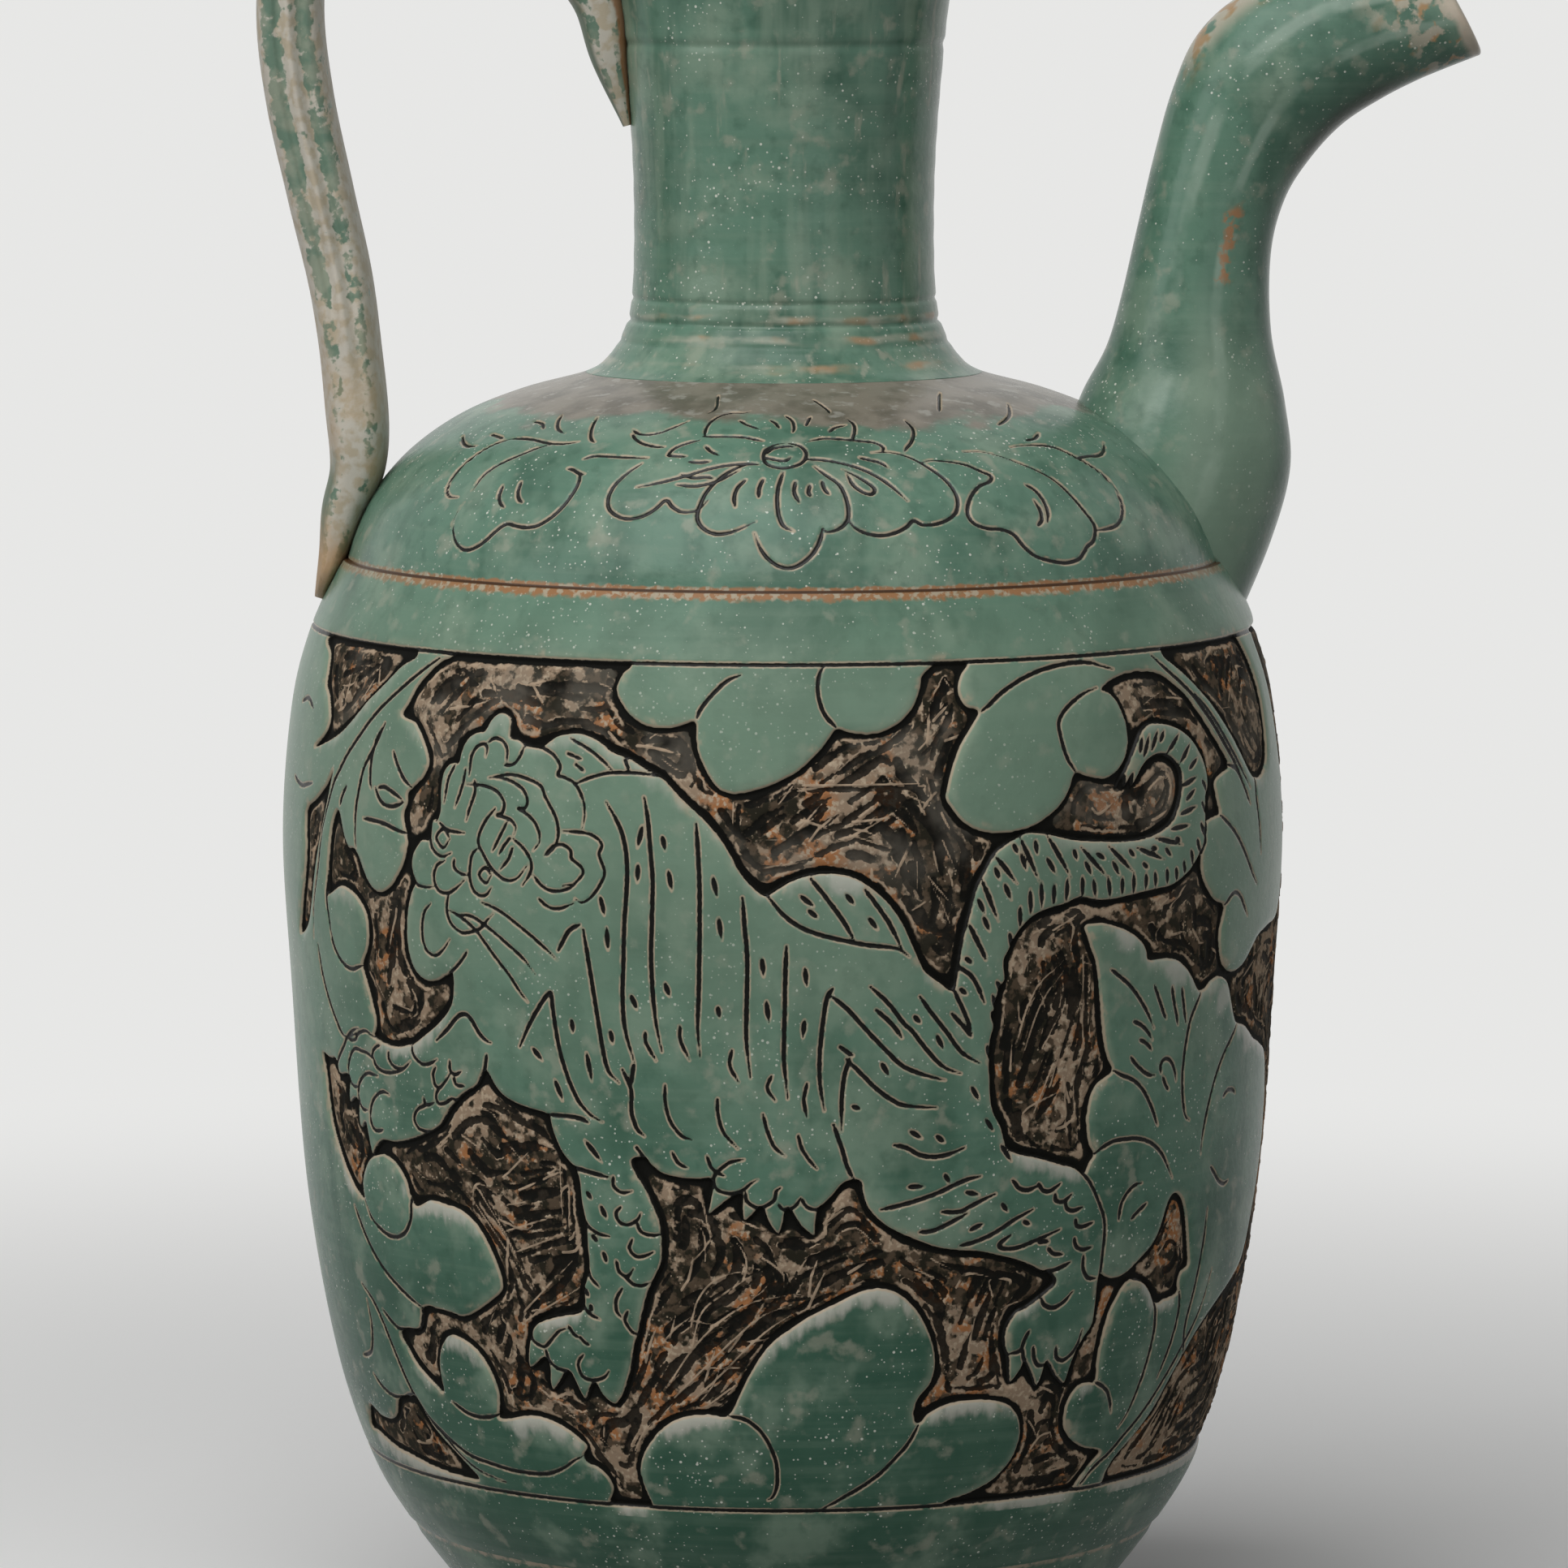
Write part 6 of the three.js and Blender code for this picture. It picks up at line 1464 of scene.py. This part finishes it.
# Darker towards the outer side, away from the lamps: painted shade.
colour = poured.coat(colour, GREEN["deep"], poured.step(flank_field, 0.72, 0.98), 0.75)
# Almost black under the bend on the outer side: painted shade, with glaze pooled there.
bend = poured.both(poured.step(along_field, 0.48, 0.6), poured.step(along_field, 0.86, 0.74),
                   poured.step(flank_field, 0.72, 0.92))
colour = poured.coat(colour, (0.022, 0.024, 0.012), bend, 0.7)
# Paler on the bulge near the root: painted light.
painted_root_light = poured.both(poured.step(along_field, 0.36, 0.2), poured.step(flank_field, -0.4, 0.1),
                    poured.step(flank_field, 0.97, 0.7), 0.6)
colour = poured.mix(painted_root_light, colour, GREEN["thin"])
beside_run = poured.apart(poured.ragged(flank_field, 2, 0.35), 0.31)
up_run = poured.apart(poured.ragged(poured.height, 3, 0.004), 0.2445)
bare_run = poured.both(poured.step(beside_run, 0.14, 0.04), poured.step(up_run, 0.0075, 0.005),
                       poured.patches(1.6, 0.36, 0.5, 4), 0.8)
colour = poured.mix(bare_run, colour, ORANGE)
tip = poured.both(poured.step(along_field, 0.80, 0.93), poured.patches(3.5, 0.5, 0.57, 4, shift=0.4))
crown = poured.both(poured.step(flank_field, -0.72, -0.95), poured.step(along_field, 0.52, 0.62),
                    poured.patches(5, 0.42, 0.52, 4))
bare_tip = poured.mix(poured.patches(4, 0.5, 0.6, 2, shift=0.8), (0.48, 0.42, 0.33), (0.42, 0.24, 0.11))
colour = poured.coat(colour, bare_tip, poured.math("MAXIMUM", tip, crown), 0.8)
lip = poured.step(poured.ragged(along_field, 5, 0.03), 0.972, 0.99)
colour = poured.coat(colour, (0.52, 0.45, 0.36), lip, 0.9)
dress(poured.finish(colour, 0.25, poured.cloud(1.3, 3)), spout)

# %% [markdown]
# Hands rubbed the handle: its ribs and edges are cream, and green stays in the hollows. Bare brown clay shows
# at both ends. The foot was never glazed.

# %% Handle and clay finish
grip = Finish("rubbed_glaze")
face_field, along_field = grip.field("face"), grip.field("along")
away = grip.math("ABSOLUTE", face_field)
hollow = grip.mix(grip.patches(4, 0.38, 0.62, 4), (0.125, 0.200, 0.145), (0.245, 0.285, 0.215))
pale = grip.mix(grip.patches(2.2, 0.42, 0.62, 4, shift=0.5), (0.55, 0.51, 0.44), (0.46, 0.39, 0.29))
ridge = grip.both(grip.math("MAXIMUM", grip.step(away, 0.6, 0.9), grip.step(away, 0.36, 0.1)), 0.75)
ridge = grip.math("ADD", ridge, grip.both(grip.step(along_field, 0.45, 0.1), 0.5))
ridge = grip.math("ADD", ridge, grip.both(grip.step(along_field, 0.84, 0.9), 0.42))
wear = grip.step(grip.ragged(grip.ragged(ridge, 1.3, 1.8), 5, 2.0), 0.22, 0.5)
colour = grip.coat(hollow, pale, wear, 0.92)
low_tan = grip.both(grip.step(along_field, 0.3, 0.05), grip.patches(6, 0.42, 0.6, 4, shift=0.2), 0.6)
colour = grip.mix(low_tan, colour, (0.47, 0.33, 0.19))
burnt = grip.both(grip.step(along_field, 0.84, 0.9), grip.step(grip.ragged(face_field, 3, 0.5), -0.5, -0.66), 0.85)
# Dark green on the side away from the pot at the low end: pooled glaze. At the neck end, on the side away from the
# neck: pooled glaze and painted shade.
low_pool = grip.both(grip.step(face_field, -0.5, -0.8), grip.step(grip.ragged(along_field, 7, 0.07), 0.14, 0.1))
neck_end_pool_and_shade = grip.both(grip.step(face_field, 0.55, 0.82), grip.step(along_field, 0.86, 0.9))
colour = grip.coat(colour, (0.07, 0.125, 0.08), grip.math("MAXIMUM", low_pool, neck_end_pool_and_shade), 0.85)
colour = grip.mix(burnt, colour, ORANGE)
seat = grip.step(grip.ragged(along_field, 6, 0.07), 0.085, 0.035)
colour = grip.coat(colour, (0.50, 0.30, 0.15), seat, 0.7)
roughness = grip.add("ShaderNodeMapRange", {"Value": wear, "To Min": 0.3, "To Max": 0.5})
dress(grip.finish(colour, roughness, grip.cloud(1.1, 4), 0.00015), handle)

clay = Finish("bare_clay")
colour = clay.mix(clay.patches(7, 0.35, 0.65, 4), (0.23, 0.15, 0.085), (0.15, 0.09, 0.05))
colour = clay.mix(clay.step(clay.dots(1.4), 0.16, 0.1), colour, (0.07, 0.045, 0.03))
dress(clay.finish(colour, 0.78, clay.cloud(0.8, 4), 0.0002), foot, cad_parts["floor_slab"])
print("finishes:", [m.name for m in bpy.data.materials])

# %% [markdown]
# ## Look
#
# Standard view keeps colours as they are written.

# %% Close
bpy.context.scene.view_settings.view_transform = "Standard"
